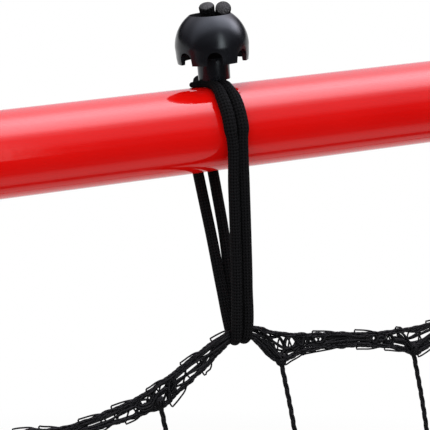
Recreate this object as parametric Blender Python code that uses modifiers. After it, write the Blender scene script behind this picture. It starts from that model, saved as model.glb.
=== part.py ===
"""Soccer rebounder: a net on elastic ball ties in a folding tube frame.

Two U tubes plug together into a square frame that leans back. A third U tube
behind it is the rear leg. It hinges on two brackets and is clamped by knobs
whose bolts run in arc slots. Each tie is one elastic cord that goes down
through a ball, round the tube, under the net's border and back up.

Metres, +Z up, the net faces -Y. The origin is on the floor under the middle.
"""

import math

import bmesh
import bpy
import numpy as np
from mathutils import Matrix, Vector

# Frame tube
TUBE_RADIUS = 0.016
TUBE_WALL = 0.0015
FRAME_WIDTH = 1.0
FRAME_HEIGHT = 1.0
CORNER_RADIUS = 0.100
CORNER_STEPS = 4
NET_LEAN = math.radians(16)

# Plug joint halfway up the posts
JOINT_HEIGHT = 0.450
SPIGOT_LENGTH = 0.060
SWAGE_LENGTH = 0.004
CLEARANCE = 0.0003

# Snap button in each plug joint
BUTTON_RADIUS = 0.004
BUTTON_HEIGHT = 0.030
BUTTON_PROUD = 0.003
BUTTON_FLANGE = 0.0012
BUTTON_FLANGE_THICKNESS = 0.0014
SPRING_THICKNESS = 0.0007
SPRING_WIDTH = 0.008
SPRING_DEPTH = 0.022
HOLE_PLAY = 0.0006

# Rear leg and its hinge
PIVOT_HEIGHT = 0.780
PIVOT_BACK = 0.056
LEG_LEAN = math.radians(16)
LEG_OVERHANG = 0.022
CAP_PLUG = 0.012
CAP_DOME = 0.0035
CLAMP_DROP = 0.048

# Hinge bracket and bolts
PLATE = 0.003
BRACKET_EDGE = 0.012
BRACKET_FRONT = 0.002
BRACKET_ABOVE = 0.008
BRACKET_BELOW = 0.050
WEB_TOP = 0.004
WEB_BOTTOM = 0.044
BOLT_RADIUS = 0.004
BOLT_HEAD_RADIUS = 0.0075
BOLT_HEAD = 0.0045
NUT_HEIGHT = 0.0065
FRAME_BOLT_DROP = 0.022

# Clamp knob
KNOB_RADIUS = 0.020
KNOB_LOBE_DEPTH = 0.0035
KNOB_LOBES = 5
KNOB_THICKNESS = 0.012
HUB_RADIUS = 0.009
HUB_HEIGHT = 0.005

# Clip-on feet
FOOT_SOLE = 0.010
FOOT_WALL = 0.004
FOOT_LENGTH = 0.070
FOOT_HALF_WIDTH = 0.022
FOOT_CLIP_ABOVE = math.radians(12)
FRONT_FOOT_INSET = 0.139
REAR_FOOT_INSET = 0.219

# Net and its border
MESH = 0.0555
TWINE = 0.002
BORDER_WIDTH = 0.0046
BORDER_THICKNESS = 0.002
BORDER_STEP = 0.041
CORNER_PULL = 0.100
EDGE_FADE = 0.5

# Elastic tie
TIE_REACH = 0.079
TIE_CLEARANCE = 0.002
CORD_RADIUS = 0.0021
SQUEEZED = 0.0014
CORD_GAP = 0.00045
STUB = 0.0053
BALL_FORWARD = math.radians(6)
BOTTOM_BALL_FORWARD = math.radians(65)

# Ball of the tie, heights from the bottom of its neck
BALL_HEIGHT = 0.0244
BALL_RADIUS = 0.0137
BALL_WAIST = 0.0129
BALL_MOUTH = 0.0077
BALL_RIM = 0.00085
SKIRT_BOTTOM = 0.0063
SKIRT_RADIUS = 0.0127
SKIRT_WALL = 0.0015
NECK_RADIUS = 0.0058
NECK_TAPER = 0.0002
BORE_RADIUS = 0.0034
FUNNEL_BOTTOM = 0.015
NOTCHES = 7
NOTCH_WIDTH = 0.0057
NOTCH_HEIGHT = 0.0049
BALL_TURN = math.radians(21)

HALF_WIDTH = FRAME_WIDTH / 2 - TUBE_RADIUS
TOP_HEIGHT = FRAME_HEIGHT - 2 * TUBE_RADIUS
MIDDLE_HEIGHT = TOP_HEIGHT / 2
RAIL_HEIGHT = TUBE_RADIUS + FOOT_SOLE
FOLD_ANGLE = NET_LEAN + LEG_LEAN
PIVOT_RISE = PIVOT_HEIGHT * math.cos(NET_LEAN) - PIVOT_BACK * math.sin(NET_LEAN)
LEG_LENGTH = PIVOT_RISE / math.cos(LEG_LEAN)
SPIGOT_RADIUS = TUBE_RADIUS - TUBE_WALL - CLEARANCE
HALF_INSIDE = TUBE_RADIUS + CLEARANCE
HALF_OUTSIDE = HALF_INSIDE + PLATE
NECK_BOTTOM = TUBE_RADIUS + 2 * CLEARANCE + 2 * SQUEEZED + 2 * CLEARANCE
ROUND_SIDES = 12
BALL_SIDES = 11
BOLT_SIDES = 8
BOLT_HOLE = (BOLT_RADIUS + HOLE_PLAY / 2) / math.cos(math.pi / BOLT_SIDES)
BRACKET_BOTTOM = PIVOT_HEIGHT - BRACKET_BELOW - BRACKET_EDGE
TIE_ROOM = BALL_RADIUS + TIE_CLEARANCE
UPPER_CELL = math.floor((BRACKET_BOTTOM - MIDDLE_HEIGHT - TIE_ROOM) / MESH - 0.73)
FRONT_FOOT_X = HALF_WIDTH - FRONT_FOOT_INSET
REAR_FOOT_X = HALF_WIDTH - REAR_FOOT_INSET
OUTER_CELL = math.floor((FRONT_FOOT_X - FOOT_LENGTH / 2 - TIE_ROOM) / MESH - 0.72)

# Each side's turn, its ties along it in meshes from its middle, and the border's sags between them.
# A tie lies well inside a mesh, clear of the strands. The posts' upper ties stay under the
# brackets, and the rails' outer ties stay between the front feet.
SIDES = {
    "top": (0, (-OUTER_CELL - 0.72, -1.514, 1.687, OUTER_CELL + 0.72), (0.019, 0.024, 0.011)),
    "left": (-90, (-5.405, -2.25, UPPER_CELL - 1.74, UPPER_CELL + 0.73), (0.020, 0.023, 0.014)),
    "right": (90, (-UPPER_CELL - 0.70, 1.70 - UPPER_CELL, 2.235, 5.37), (0.015, 0.021, 0.018)),
    "bottom": (180, (-OUTER_CELL - 0.72, -1.586, 1.622, OUTER_CELL + 0.72), (0.021, 0.022, 0.020)),
}


def clear_scene():
    for obj in list(bpy.data.objects):
        bpy.data.objects.remove(obj, do_unlink=True)


def new_collection(name):
    made = bpy.data.collections.new(name)
    bpy.context.scene.collection.children.link(made)
    return made


def new_material(name, colour, roughness, metallic=0.0, coat=0.0):
    material = bpy.data.materials.new(name)
    material.use_nodes = True
    shader = material.node_tree.nodes["Principled BSDF"]
    shader.inputs["Base Color"].default_value = (*colour, 1.0)
    shader.inputs["Roughness"].default_value = roughness
    shader.inputs["Metallic"].default_value = metallic
    shader.inputs["Coat Weight"].default_value = coat
    material.diffuse_color = (*colour, 1.0)
    return material


def new_empty(name, parent=None, location=(0, 0, 0), rotation=(0, 0, 0)):
    empty = bpy.data.objects.new(name, None)
    empty.empty_display_size = 0.05
    empty.parent = parent
    empty.location = location
    empty.rotation_euler = rotation
    PARTS.objects.link(empty)
    return empty


def new_piece(name, mesh, material, parent, location=(0, 0, 0), rotation=(0, 0, 0)):
    """One named sub-part, placed under its parent empty."""
    piece = bpy.data.objects.new(name, mesh)
    piece.parent = parent
    piece.location = location
    piece.rotation_euler = rotation
    PARTS.objects.link(piece)
    if not mesh.materials:
        mesh.materials.append(material)
    return piece


def new_cutter(name, mesh, parent, location=(0, 0, 0), rotation=(0, 0, 0)):
    cutter = bpy.data.objects.new(name, mesh)
    cutter.parent = parent
    cutter.location = location
    cutter.rotation_euler = rotation
    cutter.hide_render = True
    cutter.display_type = "WIRE"
    CUTTERS.objects.link(cutter)
    return cutter


def add_boolean(piece, other, operation="DIFFERENCE"):
    modifier = piece.modifiers.new(other.name, "BOOLEAN")
    modifier.operation = operation
    modifier.solver = "EXACT"
    modifier.object = other


def smooth(mesh, degrees=35):
    mesh.shade_smooth()
    mesh.set_sharp_from_angle(angle=math.radians(degrees))


def cylinder(name, radius, low, high, sides=ROUND_SIDES, top_radius=None):
    """A cylinder or cone along Z between two heights."""
    mesh = bpy.data.meshes.new(name)
    shape = bmesh.new()
    bmesh.ops.create_cone(
        shape,
        cap_ends=True,
        segments=sides,
        radius1=radius,
        radius2=radius if top_radius is None else top_radius,
        depth=high - low,
        matrix=Matrix.Translation((0, 0, (low + high) / 2)),
    )
    shape.to_mesh(mesh)
    shape.free()
    smooth(mesh)
    return mesh


def box(name, low, high):
    mesh = bpy.data.meshes.new(name)
    shape = bmesh.new()
    size = Vector(high) - Vector(low)
    middle = (Vector(high) + Vector(low)) / 2
    bmesh.ops.create_cube(shape, size=1, matrix=Matrix.LocRotScale(middle, None, size))
    shape.to_mesh(mesh)
    shape.free()
    return mesh


def poly_curve(name, points, dimensions="3D", closed=False, radii=None):
    curve = bpy.data.curves.new(name, "CURVE")
    curve.dimensions = dimensions
    spline = curve.splines.new("POLY")
    spline.points.add(len(points) - 1)
    for i, (point, place) in enumerate(zip(spline.points, points)):
        point.co = (*place, 1.0) if len(place) == 3 else (*place, 0.0, 1.0)
        point.radius = radii[i] if radii else 1.0
    spline.use_cyclic_u = closed
    return curve


def add_hole(curve, points):
    """Another closed outline in a flat curve, which its fill leaves open."""
    spline = curve.splines.new("POLY")
    spline.points.add(len(points) - 1)
    for point, place in zip(spline.points, points):
        point.co = (*place, 0.0, 1.0)
    spline.use_cyclic_u = True


def mesh_of(curve):
    """The curve as a mesh, with the caps welded to the sides."""
    holder = bpy.data.objects.new(curve.name, curve)
    bpy.context.scene.collection.objects.link(holder)
    graph = bpy.context.evaluated_depsgraph_get()
    mesh = bpy.data.meshes.new_from_object(holder.evaluated_get(graph))
    mesh.name = curve.name
    bpy.data.objects.remove(holder, do_unlink=True)
    shape = bmesh.new()
    shape.from_mesh(mesh)
    bmesh.ops.remove_doubles(shape, verts=shape.verts, dist=1e-6)
    bmesh.ops.recalc_face_normals(shape, faces=shape.faces)
    shape.to_mesh(mesh)
    shape.free()
    return mesh


def baked(piece):
    """The piece's mesh with its modifiers applied, for copies to share."""
    bpy.context.view_layer.update()
    graph = bpy.context.evaluated_depsgraph_get()
    mesh = bpy.data.meshes.new_from_object(piece.evaluated_get(graph))
    mesh.name = piece.name
    bpy.data.objects.remove(piece, do_unlink=True)
    return mesh


def plate_mesh(name, outline, thickness, holes=()):
    """A flat outline in XY with thickness along Z, centred on its plane."""
    curve = poly_curve(name, outline, "2D", closed=True)
    for hole in holes:
        add_hole(curve, hole)
    curve.fill_mode = "BOTH"
    curve.extrude = thickness / 2
    return mesh_of(curve)


def arc(centre, radius, start, end, steps):
    """Points on an arc in a plane, both ends included."""
    angles = np.linspace(start, end, steps + 1)
    return [(centre[0] + radius * math.cos(a), centre[1] + radius * math.sin(a)) for a in angles]


def circle(centre, radius, sides):
    return arc(centre, radius, 0, math.tau, sides)[:-1]


def rounded_outline(corners, radius, steps):
    """The outline a disc's edge draws round a convex loop of corners, anticlockwise."""
    points = []
    for i, corner in enumerate(corners):
        before = Vector(corner) - Vector(corners[i - 1])
        after = Vector(corners[(i + 1) % len(corners)]) - Vector(corner)
        start = math.atan2(-before.x, before.y)
        turn = before.angle_signed(after)
        points += arc(corner, radius, start, start - turn, steps)
    return points


def u_path(end, far, spare=()):
    """The centre line of a U tube in XZ: down one post, across at far, up the other."""
    way = 1 if far > end else -1
    bend = far - way * CORNER_RADIUS
    inner = HALF_WIDTH - CORNER_RADIUS
    post = [(-HALF_WIDTH, end)] + [(-HALF_WIDTH, z) for z in spare]
    corner = arc((-inner, bend), CORNER_RADIUS, math.pi, math.pi - way * math.pi / 2, CORNER_STEPS)
    half = post + corner
    return half + [(-x, z) for x, z in reversed(half)]


def u_tube(name, path, parent, radii=None):
    """A bent tube with open ends, its wall inward from the outside radius."""
    places = [(x, 0, z) for x, z in path]
    curve = poly_curve(name, places, radii=radii)
    curve.bevel_depth = TUBE_RADIUS
    curve.bevel_resolution = (ROUND_SIDES - 4) // 2
    mesh = mesh_of(curve)
    smooth(mesh, 60)
    tube = new_piece(name, mesh, RED, parent)
    wall = tube.modifiers.new("wall", "SOLIDIFY")
    wall.thickness = TUBE_WALL
    wall.offset = -1
    wall.use_even_offset = True
    return tube


def cross_hole(tube, name, parent, x, height, radius, one_wall=0):
    """A hole along X through a post, or through one wall only."""
    reach = 2 * TUBE_RADIUS
    low = 0 if one_wall else -reach
    mesh = cylinder(name, radius, low, reach, BOLT_SIDES)
    turn = math.copysign(math.pi / 2, one_wall or 1)
    cutter = new_cutter(name, mesh, parent, (x, 0, height), (0, turn, 0))
    add_boolean(tube, cutter)


def make_front_frame(net_plane):
    upper = u_tube("upper_frame_tube", u_path(JOINT_HEIGHT, TOP_HEIGHT), net_plane)
    spigot_end = JOINT_HEIGHT + SPIGOT_LENGTH
    swage_top = JOINT_HEIGHT - CLEARANCE
    path = u_path(spigot_end, 0, (swage_top, swage_top - SWAGE_LENGTH))
    narrow = SPIGOT_RADIUS / TUBE_RADIUS
    radii = [narrow if z >= swage_top else 1.0 for _, z in path]
    lower = u_tube("lower_frame_tube", path, net_plane, radii)
    for side, name in ((-1, "left"), (1, "right")):
        x = side * HALF_WIDTH
        height = JOINT_HEIGHT + BUTTON_HEIGHT
        hole = (BUTTON_RADIUS + HOLE_PLAY / 2) / math.cos(math.pi / BOLT_SIDES)
        cross_hole(upper, f"button_hole_upper_{name}", net_plane, x, height, hole, side)
        cross_hole(lower, f"button_hole_lower_{name}", net_plane, x, height, hole, side)
        height = PIVOT_HEIGHT - FRAME_BOLT_DROP
        cross_hole(upper, f"bracket_hole_{name}", net_plane, x, height, BOLT_HOLE)


def button_mesh():
    """A stepped pin along Z, as far from the post's middle as it sits."""
    inside = SPIGOT_RADIUS - TUBE_WALL
    flange_radius = BUTTON_RADIUS + BUTTON_FLANGE
    seat = math.sqrt((inside * math.cos(math.pi / ROUND_SIDES)) ** 2 - flange_radius**2) - CLEARANCE
    tip = TUBE_RADIUS + BUTTON_PROUD
    profile = [
        (0, tip),
        (0.6 * BUTTON_RADIUS, tip - 0.1 * BUTTON_PROUD),
        (BUTTON_RADIUS, tip - 0.5 * BUTTON_PROUD),
        (BUTTON_RADIUS, seat),
        (flange_radius, seat),
        (flange_radius, seat - BUTTON_FLANGE_THICKNESS),
        (0, seat - BUTTON_FLANGE_THICKNESS),
    ]
    return turned_mesh("frame_button", profile, BOLT_SIDES), seat - BUTTON_FLANGE_THICKNESS


def turned_mesh(name, profile, steps):
    """A profile of (radius, height), outside from top to bottom, turned about Z."""
    mesh = bpy.data.meshes.new(name)
    shape = bmesh.new()
    points = [shape.verts.new((radius, 0, height)) for radius, height in profile]
    for first, second in zip(points, points[1:]):
        shape.edges.new((first, second))
    shape.to_mesh(mesh)
    shape.free()
    piece = bpy.data.objects.new(name, mesh)
    bpy.context.scene.collection.objects.link(piece)
    screw = piece.modifiers.new("turn", "SCREW")
    screw.steps = steps
    screw.render_steps = steps
    screw.use_merge_vertices = True
    screw.merge_threshold = 1e-5
    mesh = baked(piece)
    smooth(mesh)
    return mesh


def spring_mesh(leaf_top):
    """A V of flat strip in XZ: one leaf behind the button, the other on the far wall."""
    near = leaf_top - CLEARANCE - SPRING_THICKNESS / 2
    inside = (SPIGOT_RADIUS - TUBE_WALL) * math.cos(math.pi / ROUND_SIDES)
    back = math.sqrt(inside**2 - (SPRING_WIDTH / 2) ** 2) - CLEARANCE - SPRING_THICKNESS / 2
    leaf = BUTTON_RADIUS + BUTTON_FLANGE
    middle = (near - back) / 2
    bend = (near + back) / 3.2
    path = [(near, leaf), (near, -leaf)]
    path += arc((middle, bend - SPRING_DEPTH), bend, 0.15, -math.pi - 0.15, 6)
    path += [(-back, -leaf), (-back, leaf)]
    curve = poly_curve("button_spring", path, "2D")
    curve.fill_mode = "NONE"
    curve.extrude = SPRING_WIDTH / 2
    mesh = mesh_of(curve)
    piece = bpy.data.objects.new("button_spring", mesh)
    bpy.context.scene.collection.objects.link(piece)
    strip = piece.modifiers.new("strip", "SOLIDIFY")
    strip.thickness = SPRING_THICKNESS
    strip.offset = 0
    return baked(piece)


def make_buttons(net_plane):
    button, leaf_top = button_mesh()
    spring = spring_mesh(leaf_top)
    height = JOINT_HEIGHT + BUTTON_HEIGHT
    for side, name in ((-1, "left"), (1, "right")):
        place = (side * HALF_WIDTH, 0, height)
        facing = (0, side * math.pi / 2, 0)
        new_piece(f"frame_button_{name}", button, STEEL, net_plane, place, facing)
        turn = (math.pi / 2, 0, 0 if side > 0 else math.pi)
        new_piece(f"button_spring_{name}", spring, STEEL, net_plane, place, turn)


def bracket_mesh():
    """Two cheeks and a web between them. Its own X is back and Y is up, from the pivot."""
    post = -PIVOT_BACK
    slot_end = (CLAMP_DROP * math.sin(FOLD_ANGLE), -CLAMP_DROP * math.cos(FOLD_ANGLE))
    corners = [
        (post - BRACKET_FRONT, -BRACKET_BELOW),
        (0, -BRACKET_BELOW),
        slot_end,
        (BRACKET_ABOVE, BRACKET_ABOVE),
        (post - BRACKET_FRONT, BRACKET_ABOVE),
    ]
    outline = rounded_outline(corners, BRACKET_EDGE, 3)
    hole = BOLT_HOLE
    down = -math.pi / 2
    open_end = down + FOLD_ANGLE
    slot = arc((0, 0), CLAMP_DROP + hole, down, open_end, 3)
    slot += arc(slot_end, hole, open_end, open_end + math.pi, 4)[1:-1]
    slot += arc((0, 0), CLAMP_DROP - hole, open_end, down, 3)
    slot += arc((0, -CLAMP_DROP), hole, down + math.pi, down + math.tau, 4)[1:-1]
    holes = [
        slot,
        circle((0, 0), hole, BOLT_SIDES),
        circle((post, -FRAME_BOLT_DROP), hole, BOLT_SIDES),
    ]
    cheek = plate_mesh("hinge_bracket", outline, PLATE, holes)
    middle = HALF_INSIDE + PLATE / 2
    pieces = []
    for side in (-1, 1):
        piece = bpy.data.objects.new(f"cheek_{side}", cheek)
        piece.location.z = side * middle
        bpy.context.scene.collection.objects.link(piece)
        pieces.append(piece)
    back = post + HALF_INSIDE
    web = box("web", (back, -WEB_BOTTOM, -middle), (back + PLATE, WEB_TOP, middle))
    joined = bpy.data.objects.new("hinge_bracket", web)
    bpy.context.scene.collection.objects.link(joined)
    for piece in pieces:
        add_boolean(joined, piece, "UNION")
    mesh = baked(joined)
    for piece in pieces:
        bpy.data.objects.remove(piece, do_unlink=True)
    return mesh


def bolt_mesh(name, shank):
    """A bolt along Z. Its head's underside is at zero and its shank runs down."""
    head = new_cutter(name, cylinder(name, BOLT_HEAD_RADIUS, 0, BOLT_HEAD, 6), None)
    body = cylinder("shank", BOLT_RADIUS, -shank, BOLT_HEAD / 2, BOLT_SIDES)
    shank_piece = new_cutter("shank", body, None)
    add_boolean(head, shank_piece, "UNION")
    mesh = baked(head)
    bpy.data.objects.remove(shank_piece, do_unlink=True)
    return mesh


def nut_mesh():
    nut = cylinder("nut", BOLT_HEAD_RADIUS, 0, NUT_HEIGHT, 6)
    piece = new_cutter("nut", nut, None)
    bore_mesh = cylinder("nut_bore", BOLT_HOLE, -NUT_HEIGHT, 2 * NUT_HEIGHT, BOLT_SIDES)
    bore = new_cutter("nut_bore", bore_mesh, None)
    add_boolean(piece, bore)
    mesh = baked(piece)
    bpy.data.objects.remove(bore, do_unlink=True)
    return mesh


def knob_mesh():
    """A lobed knob with its hub towards -Z, bored through for the clamp bolt."""
    angles = np.linspace(0, math.tau, 4 * KNOB_LOBES, endpoint=False)
    reach = [KNOB_RADIUS - KNOB_LOBE_DEPTH * (1 - math.cos(KNOB_LOBES * a)) / 2 for a in angles]
    outline = [(r * math.cos(a), r * math.sin(a)) for r, a in zip(reach, angles)]
    bore = circle((0, 0), BOLT_HOLE, BOLT_SIDES)
    grip_mesh = plate_mesh("clamp_knob", outline, KNOB_THICKNESS, [bore])
    grip_mesh.transform(Matrix.Translation((0, 0, HUB_HEIGHT + KNOB_THICKNESS / 2)))
    grip = new_cutter("knob", grip_mesh, None)
    rim = circle((0, 0), HUB_RADIUS, ROUND_SIDES)
    hub_length = HUB_HEIGHT + KNOB_THICKNESS / 2
    hub_mesh = plate_mesh("hub", rim, hub_length, [bore])
    hub_mesh.transform(Matrix.Translation((0, 0, hub_length / 2)))
    hub = new_cutter("hub", hub_mesh, None)
    add_boolean(grip, hub, "UNION")
    mesh = baked(grip)
    bpy.data.objects.remove(hub, do_unlink=True)
    smooth(mesh)
    return mesh


def make_hinges(net_plane, leg_pivot):
    """Brackets and fixed bolts on the posts, clamp bolts and knobs on the leg."""
    bracket = bracket_mesh()
    shank = 2 * HALF_OUTSIDE + CLEARANCE + NUT_HEIGHT
    bolt = bolt_mesh("pivot_bolt", shank)
    nut = nut_mesh()
    clamp_length = 2 * HALF_OUTSIDE + 2 * CLEARANCE + HUB_HEIGHT + 0.8 * KNOB_THICKNESS
    clamp = bolt_mesh("clamp_bolt", clamp_length)
    short = bolt_mesh("bracket_bolt", 2 * HALF_OUTSIDE + CLEARANCE + BOLT_RADIUS)
    knob = knob_mesh()
    seat = HALF_OUTSIDE + CLEARANCE
    for side, name in ((-1, "left"), (1, "right")):
        x = side * HALF_WIDTH
        out = (0, side * math.pi / 2, 0)
        inward = (0, -side * math.pi / 2, 0)
        back_up = (math.pi / 2, 0, math.pi / 2)
        new_piece(f"hinge_bracket_{name}", bracket, ZINC, net_plane, (x, PIVOT_BACK, PIVOT_HEIGHT), back_up)
        place = (x + side * seat, PIVOT_BACK, PIVOT_HEIGHT)
        new_piece(f"pivot_bolt_{name}", bolt, STEEL, net_plane, place, out)
        place = (x - side * seat, PIVOT_BACK, PIVOT_HEIGHT)
        new_piece(f"pivot_nut_{name}", nut, STEEL, net_plane, place, inward)
        place = (x + side * seat, 0, PIVOT_HEIGHT - FRAME_BOLT_DROP)
        new_piece(f"bracket_bolt_{name}", short, STEEL, net_plane, place, out)
        place = (x - side * seat, 0, -CLAMP_DROP)
        new_piece(f"clamp_bolt_{name}", clamp, STEEL, leg_pivot, place, inward)
        place = (x + side * seat, 0, -CLAMP_DROP)
        new_piece(f"clamp_knob_{name}", knob, BLACK, leg_pivot, place, out)


def make_rear_leg(leg_pivot):
    tube = u_tube("rear_leg_tube", u_path(LEG_OVERHANG, -LEG_LENGTH), leg_pivot)
    plug = (TUBE_RADIUS - TUBE_WALL) * math.cos(math.pi / ROUND_SIDES) - 2 * CLEARANCE
    profile = [
        (0, CAP_DOME),
        (0.65 * TUBE_RADIUS, 0.8 * CAP_DOME),
        (TUBE_RADIUS, CLEARANCE),
        (plug, CLEARANCE),
        (plug, -CAP_PLUG),
        (0, -CAP_PLUG),
    ]
    cap = turned_mesh("leg_cap", profile, ROUND_SIDES)
    for side, name in ((-1, "left"), (1, "right")):
        x = side * HALF_WIDTH
        cross_hole(tube, f"pivot_hole_{name}", leg_pivot, x, 0, BOLT_HOLE)
        cross_hole(tube, f"clamp_hole_{name}", leg_pivot, x, -CLAMP_DROP, BOLT_HOLE)
        new_piece(f"leg_cap_{name}", cap, BLACK, leg_pivot, (x, 0, LEG_OVERHANG))


def foot_mesh():
    """A clip round the rail with a flat sole. Its own X is along the foot's width, Y is up."""
    step = math.radians(20)
    inner = (TUBE_RADIUS + CLEARANCE) / math.cos(step / 2)
    outer = TUBE_RADIUS + CLEARANCE + FOOT_WALL
    above = FOOT_CLIP_ABOVE
    steps = round((math.pi + 2 * above) / step)
    outline = arc((0, 0), inner, above, -math.pi - above, steps)
    left = arc((0, 0), outer, math.pi - above, math.pi + math.radians(35), 2)
    floor = -TUBE_RADIUS - FOOT_SOLE
    shoulder = floor + 0.6 * FOOT_SOLE
    edge = FOOT_SOLE / 5
    sole = [
        (-FOOT_HALF_WIDTH, shoulder),
        (-FOOT_HALF_WIDTH, floor + edge),
        (-FOOT_HALF_WIDTH + edge, floor),
    ]
    left += sole
    outline += left + [(-x, y) for x, y in reversed(left)]
    mesh = plate_mesh("foot", outline, FOOT_LENGTH)
    smooth(mesh)
    return mesh


def make_feet(net_plane, leg_pivot):
    foot = foot_mesh()
    along = Matrix.Rotation(math.pi / 2, 4, "Z") @ Matrix.Rotation(math.pi / 2, 4, "X")
    for side, name in ((-1, "left"), (1, "right")):
        front = Matrix.Rotation(NET_LEAN, 4, "X") @ along
        place = (side * FRONT_FOOT_X, 0, 0)
        new_piece(f"front_foot_{name}", foot, BLACK, net_plane, place, front.to_euler())
        rear = Matrix.Rotation(-LEG_LEAN, 4, "X") @ along
        place = (side * REAR_FOOT_X, 0, -LEG_LENGTH)
        new_piece(f"rear_foot_{name}", foot, BLACK, leg_pivot, place, rear.to_euler())


def border_out(ties, sags, half, tie_out, corner_out, s):
    """How far the border's centre line lies from the net's middle, at s along a side."""
    for first, second, sag in zip(ties, ties[1:], sags):
        if first <= s <= second:
            part = math.sin(math.pi * (s - first) / (second - first))
            return tie_out - sag * max(part, 0) ** 1.1
    nearest = ties[0] if s < ties[0] else ties[-1]
    part = min(abs(s - nearest) / (half - abs(nearest)), 1)
    return tie_out - (tie_out - corner_out) * math.sin(math.pi / 2 * part) ** 1.1


def tie_stations(name):
    return [place * MESH for place in SIDES[name][1]]


def side_shape(name):
    """The tube's distance from the net's middle across and along one side, and its border."""
    turn, _, sags = SIDES[name]
    ties = tie_stations(name)
    level = turn % 180 == 0
    across = MIDDLE_HEIGHT if level else HALF_WIDTH
    along = HALF_WIDTH if level else MIDDLE_HEIGHT
    half = along - CORNER_PULL
    tie_out = across - TIE_REACH

    def out(s):
        return border_out(ties, sags, half, tie_out, across - CORNER_PULL, s)

    return math.radians(turn), across, half, out


def turned(angle, s, out):
    """A place given along and out from a side, in the net plane's own X and Z."""
    return (s * math.cos(angle) + out * math.sin(angle), out * math.cos(angle) - s * math.sin(angle))


def border_points():
    points = []
    for name in ("top", "right", "bottom", "left"):
        angle, _, half, out = side_shape(name)
        count = int(half / BORDER_STEP)
        stations = [i * BORDER_STEP for i in range(-count, count + 1)]
        stations += tie_stations(name)
        stations = [s for s in sorted(stations) if abs(s) < half - BORDER_STEP / 4]
        points += [turned(angle, s, out(s)) for s in stations]
        points.append(turned(angle, half, out(half)))
    return points


def make_border(net_plane):
    section = poly_curve(
        "border_section",
        [
            (-BORDER_WIDTH / 2, -BORDER_THICKNESS / 2),
            (BORDER_WIDTH / 2, -BORDER_THICKNESS / 2),
            (BORDER_WIDTH / 2, BORDER_THICKNESS / 2),
            (-BORDER_WIDTH / 2, BORDER_THICKNESS / 2),
        ],
        "2D",
        closed=True,
    )
    holder = bpy.data.objects.new("border_section", section)
    holder.hide_render = True
    CUTTERS.objects.link(holder)
    ring = poly_curve("net_border", border_points(), "2D", closed=True)
    ring.fill_mode = "NONE"
    ring.bevel_mode = "OBJECT"
    ring.bevel_object = holder
    mesh = mesh_of(ring)
    upright = (math.pi / 2, 0, 0)
    new_piece("net_border", mesh, TWINE_BLACK, net_plane, (0, 0, MIDDLE_HEIGHT), upright)


def net_lines(across):
    """Where strands lie from the net's middle in one direction, with one past each edge."""
    deepest = max(max(sags) for _, _, sags in SIDES.values())
    count = int((across - TIE_REACH - deepest) / MESH)
    outside = across - TIE_REACH + MESH / 2
    return [-outside] + [i * MESH for i in range(-count, count + 1)] + [outside]


def make_net(net_plane):
    """A knotted grid that is wider than the border, then trimmed just inside it."""
    columns = net_lines(HALF_WIDTH)
    rows = net_lines(MIDDLE_HEIGHT)
    mesh = bpy.data.meshes.new("net_mesh")
    shape = bmesh.new()
    bmesh.ops.create_grid(shape, x_segments=len(columns) - 1, y_segments=len(rows) - 1, size=1)
    sides = [side_shape(name) for name in SIDES]
    for vert in shape.verts:
        x = columns[round((vert.co.x + 1) / 2 * (len(columns) - 1))]
        z = rows[round((vert.co.y + 1) / 2 * (len(rows) - 1))]
        moved_x, moved_z = x, z
        for angle, across, half, out in sides:
            side_x, side_z = turned(angle, 0, 1)
            along_x, along_z = turned(angle, 1, 0)
            *_, last, outside = net_lines(across)
            from_middle = x * side_x + z * side_z
            inward = (last + MESH - from_middle) / MESH
            along = max(-half, min(half, x * along_x + z * along_z))
            pull = (out(along) - last - MESH) * EDGE_FADE ** max(inward, 0)
            if abs(from_middle) < outside:
                moved_x += pull * side_x
                moved_z += pull * side_z
        vert.co = (moved_x, moved_z, 0)
    shape.to_mesh(mesh)
    shape.free()
    upright = (math.pi / 2, 0, 0)
    place = (0, 0, MIDDLE_HEIGHT)
    net = new_piece("net_mesh", mesh, TWINE_BLACK, net_plane, place, upright)
    strands = net.modifiers.new("strands", "WIREFRAME")
    strands.thickness = TWINE
    strands.use_even_offset = True
    strands.use_replace = True
    trim_gap = BORDER_WIDTH / 2 + CLEARANCE
    loop = [Vector(point) for point in border_points()]
    inset = []
    for i, point in enumerate(loop):
        before = (point - loop[i - 1]).normalized()
        after = (loop[(i + 1) % len(loop)] - point).normalized()
        inward = Vector((before.y + after.y, -before.x - after.x))
        square = 1 + before.dot(after)
        inset.append(point + inward * trim_gap / square)
    trim = new_cutter("net_trim", plate_mesh("net_trim", inset, 10 * TWINE), net_plane, place, upright)
    add_boolean(net, trim, "INTERSECT")


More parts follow.
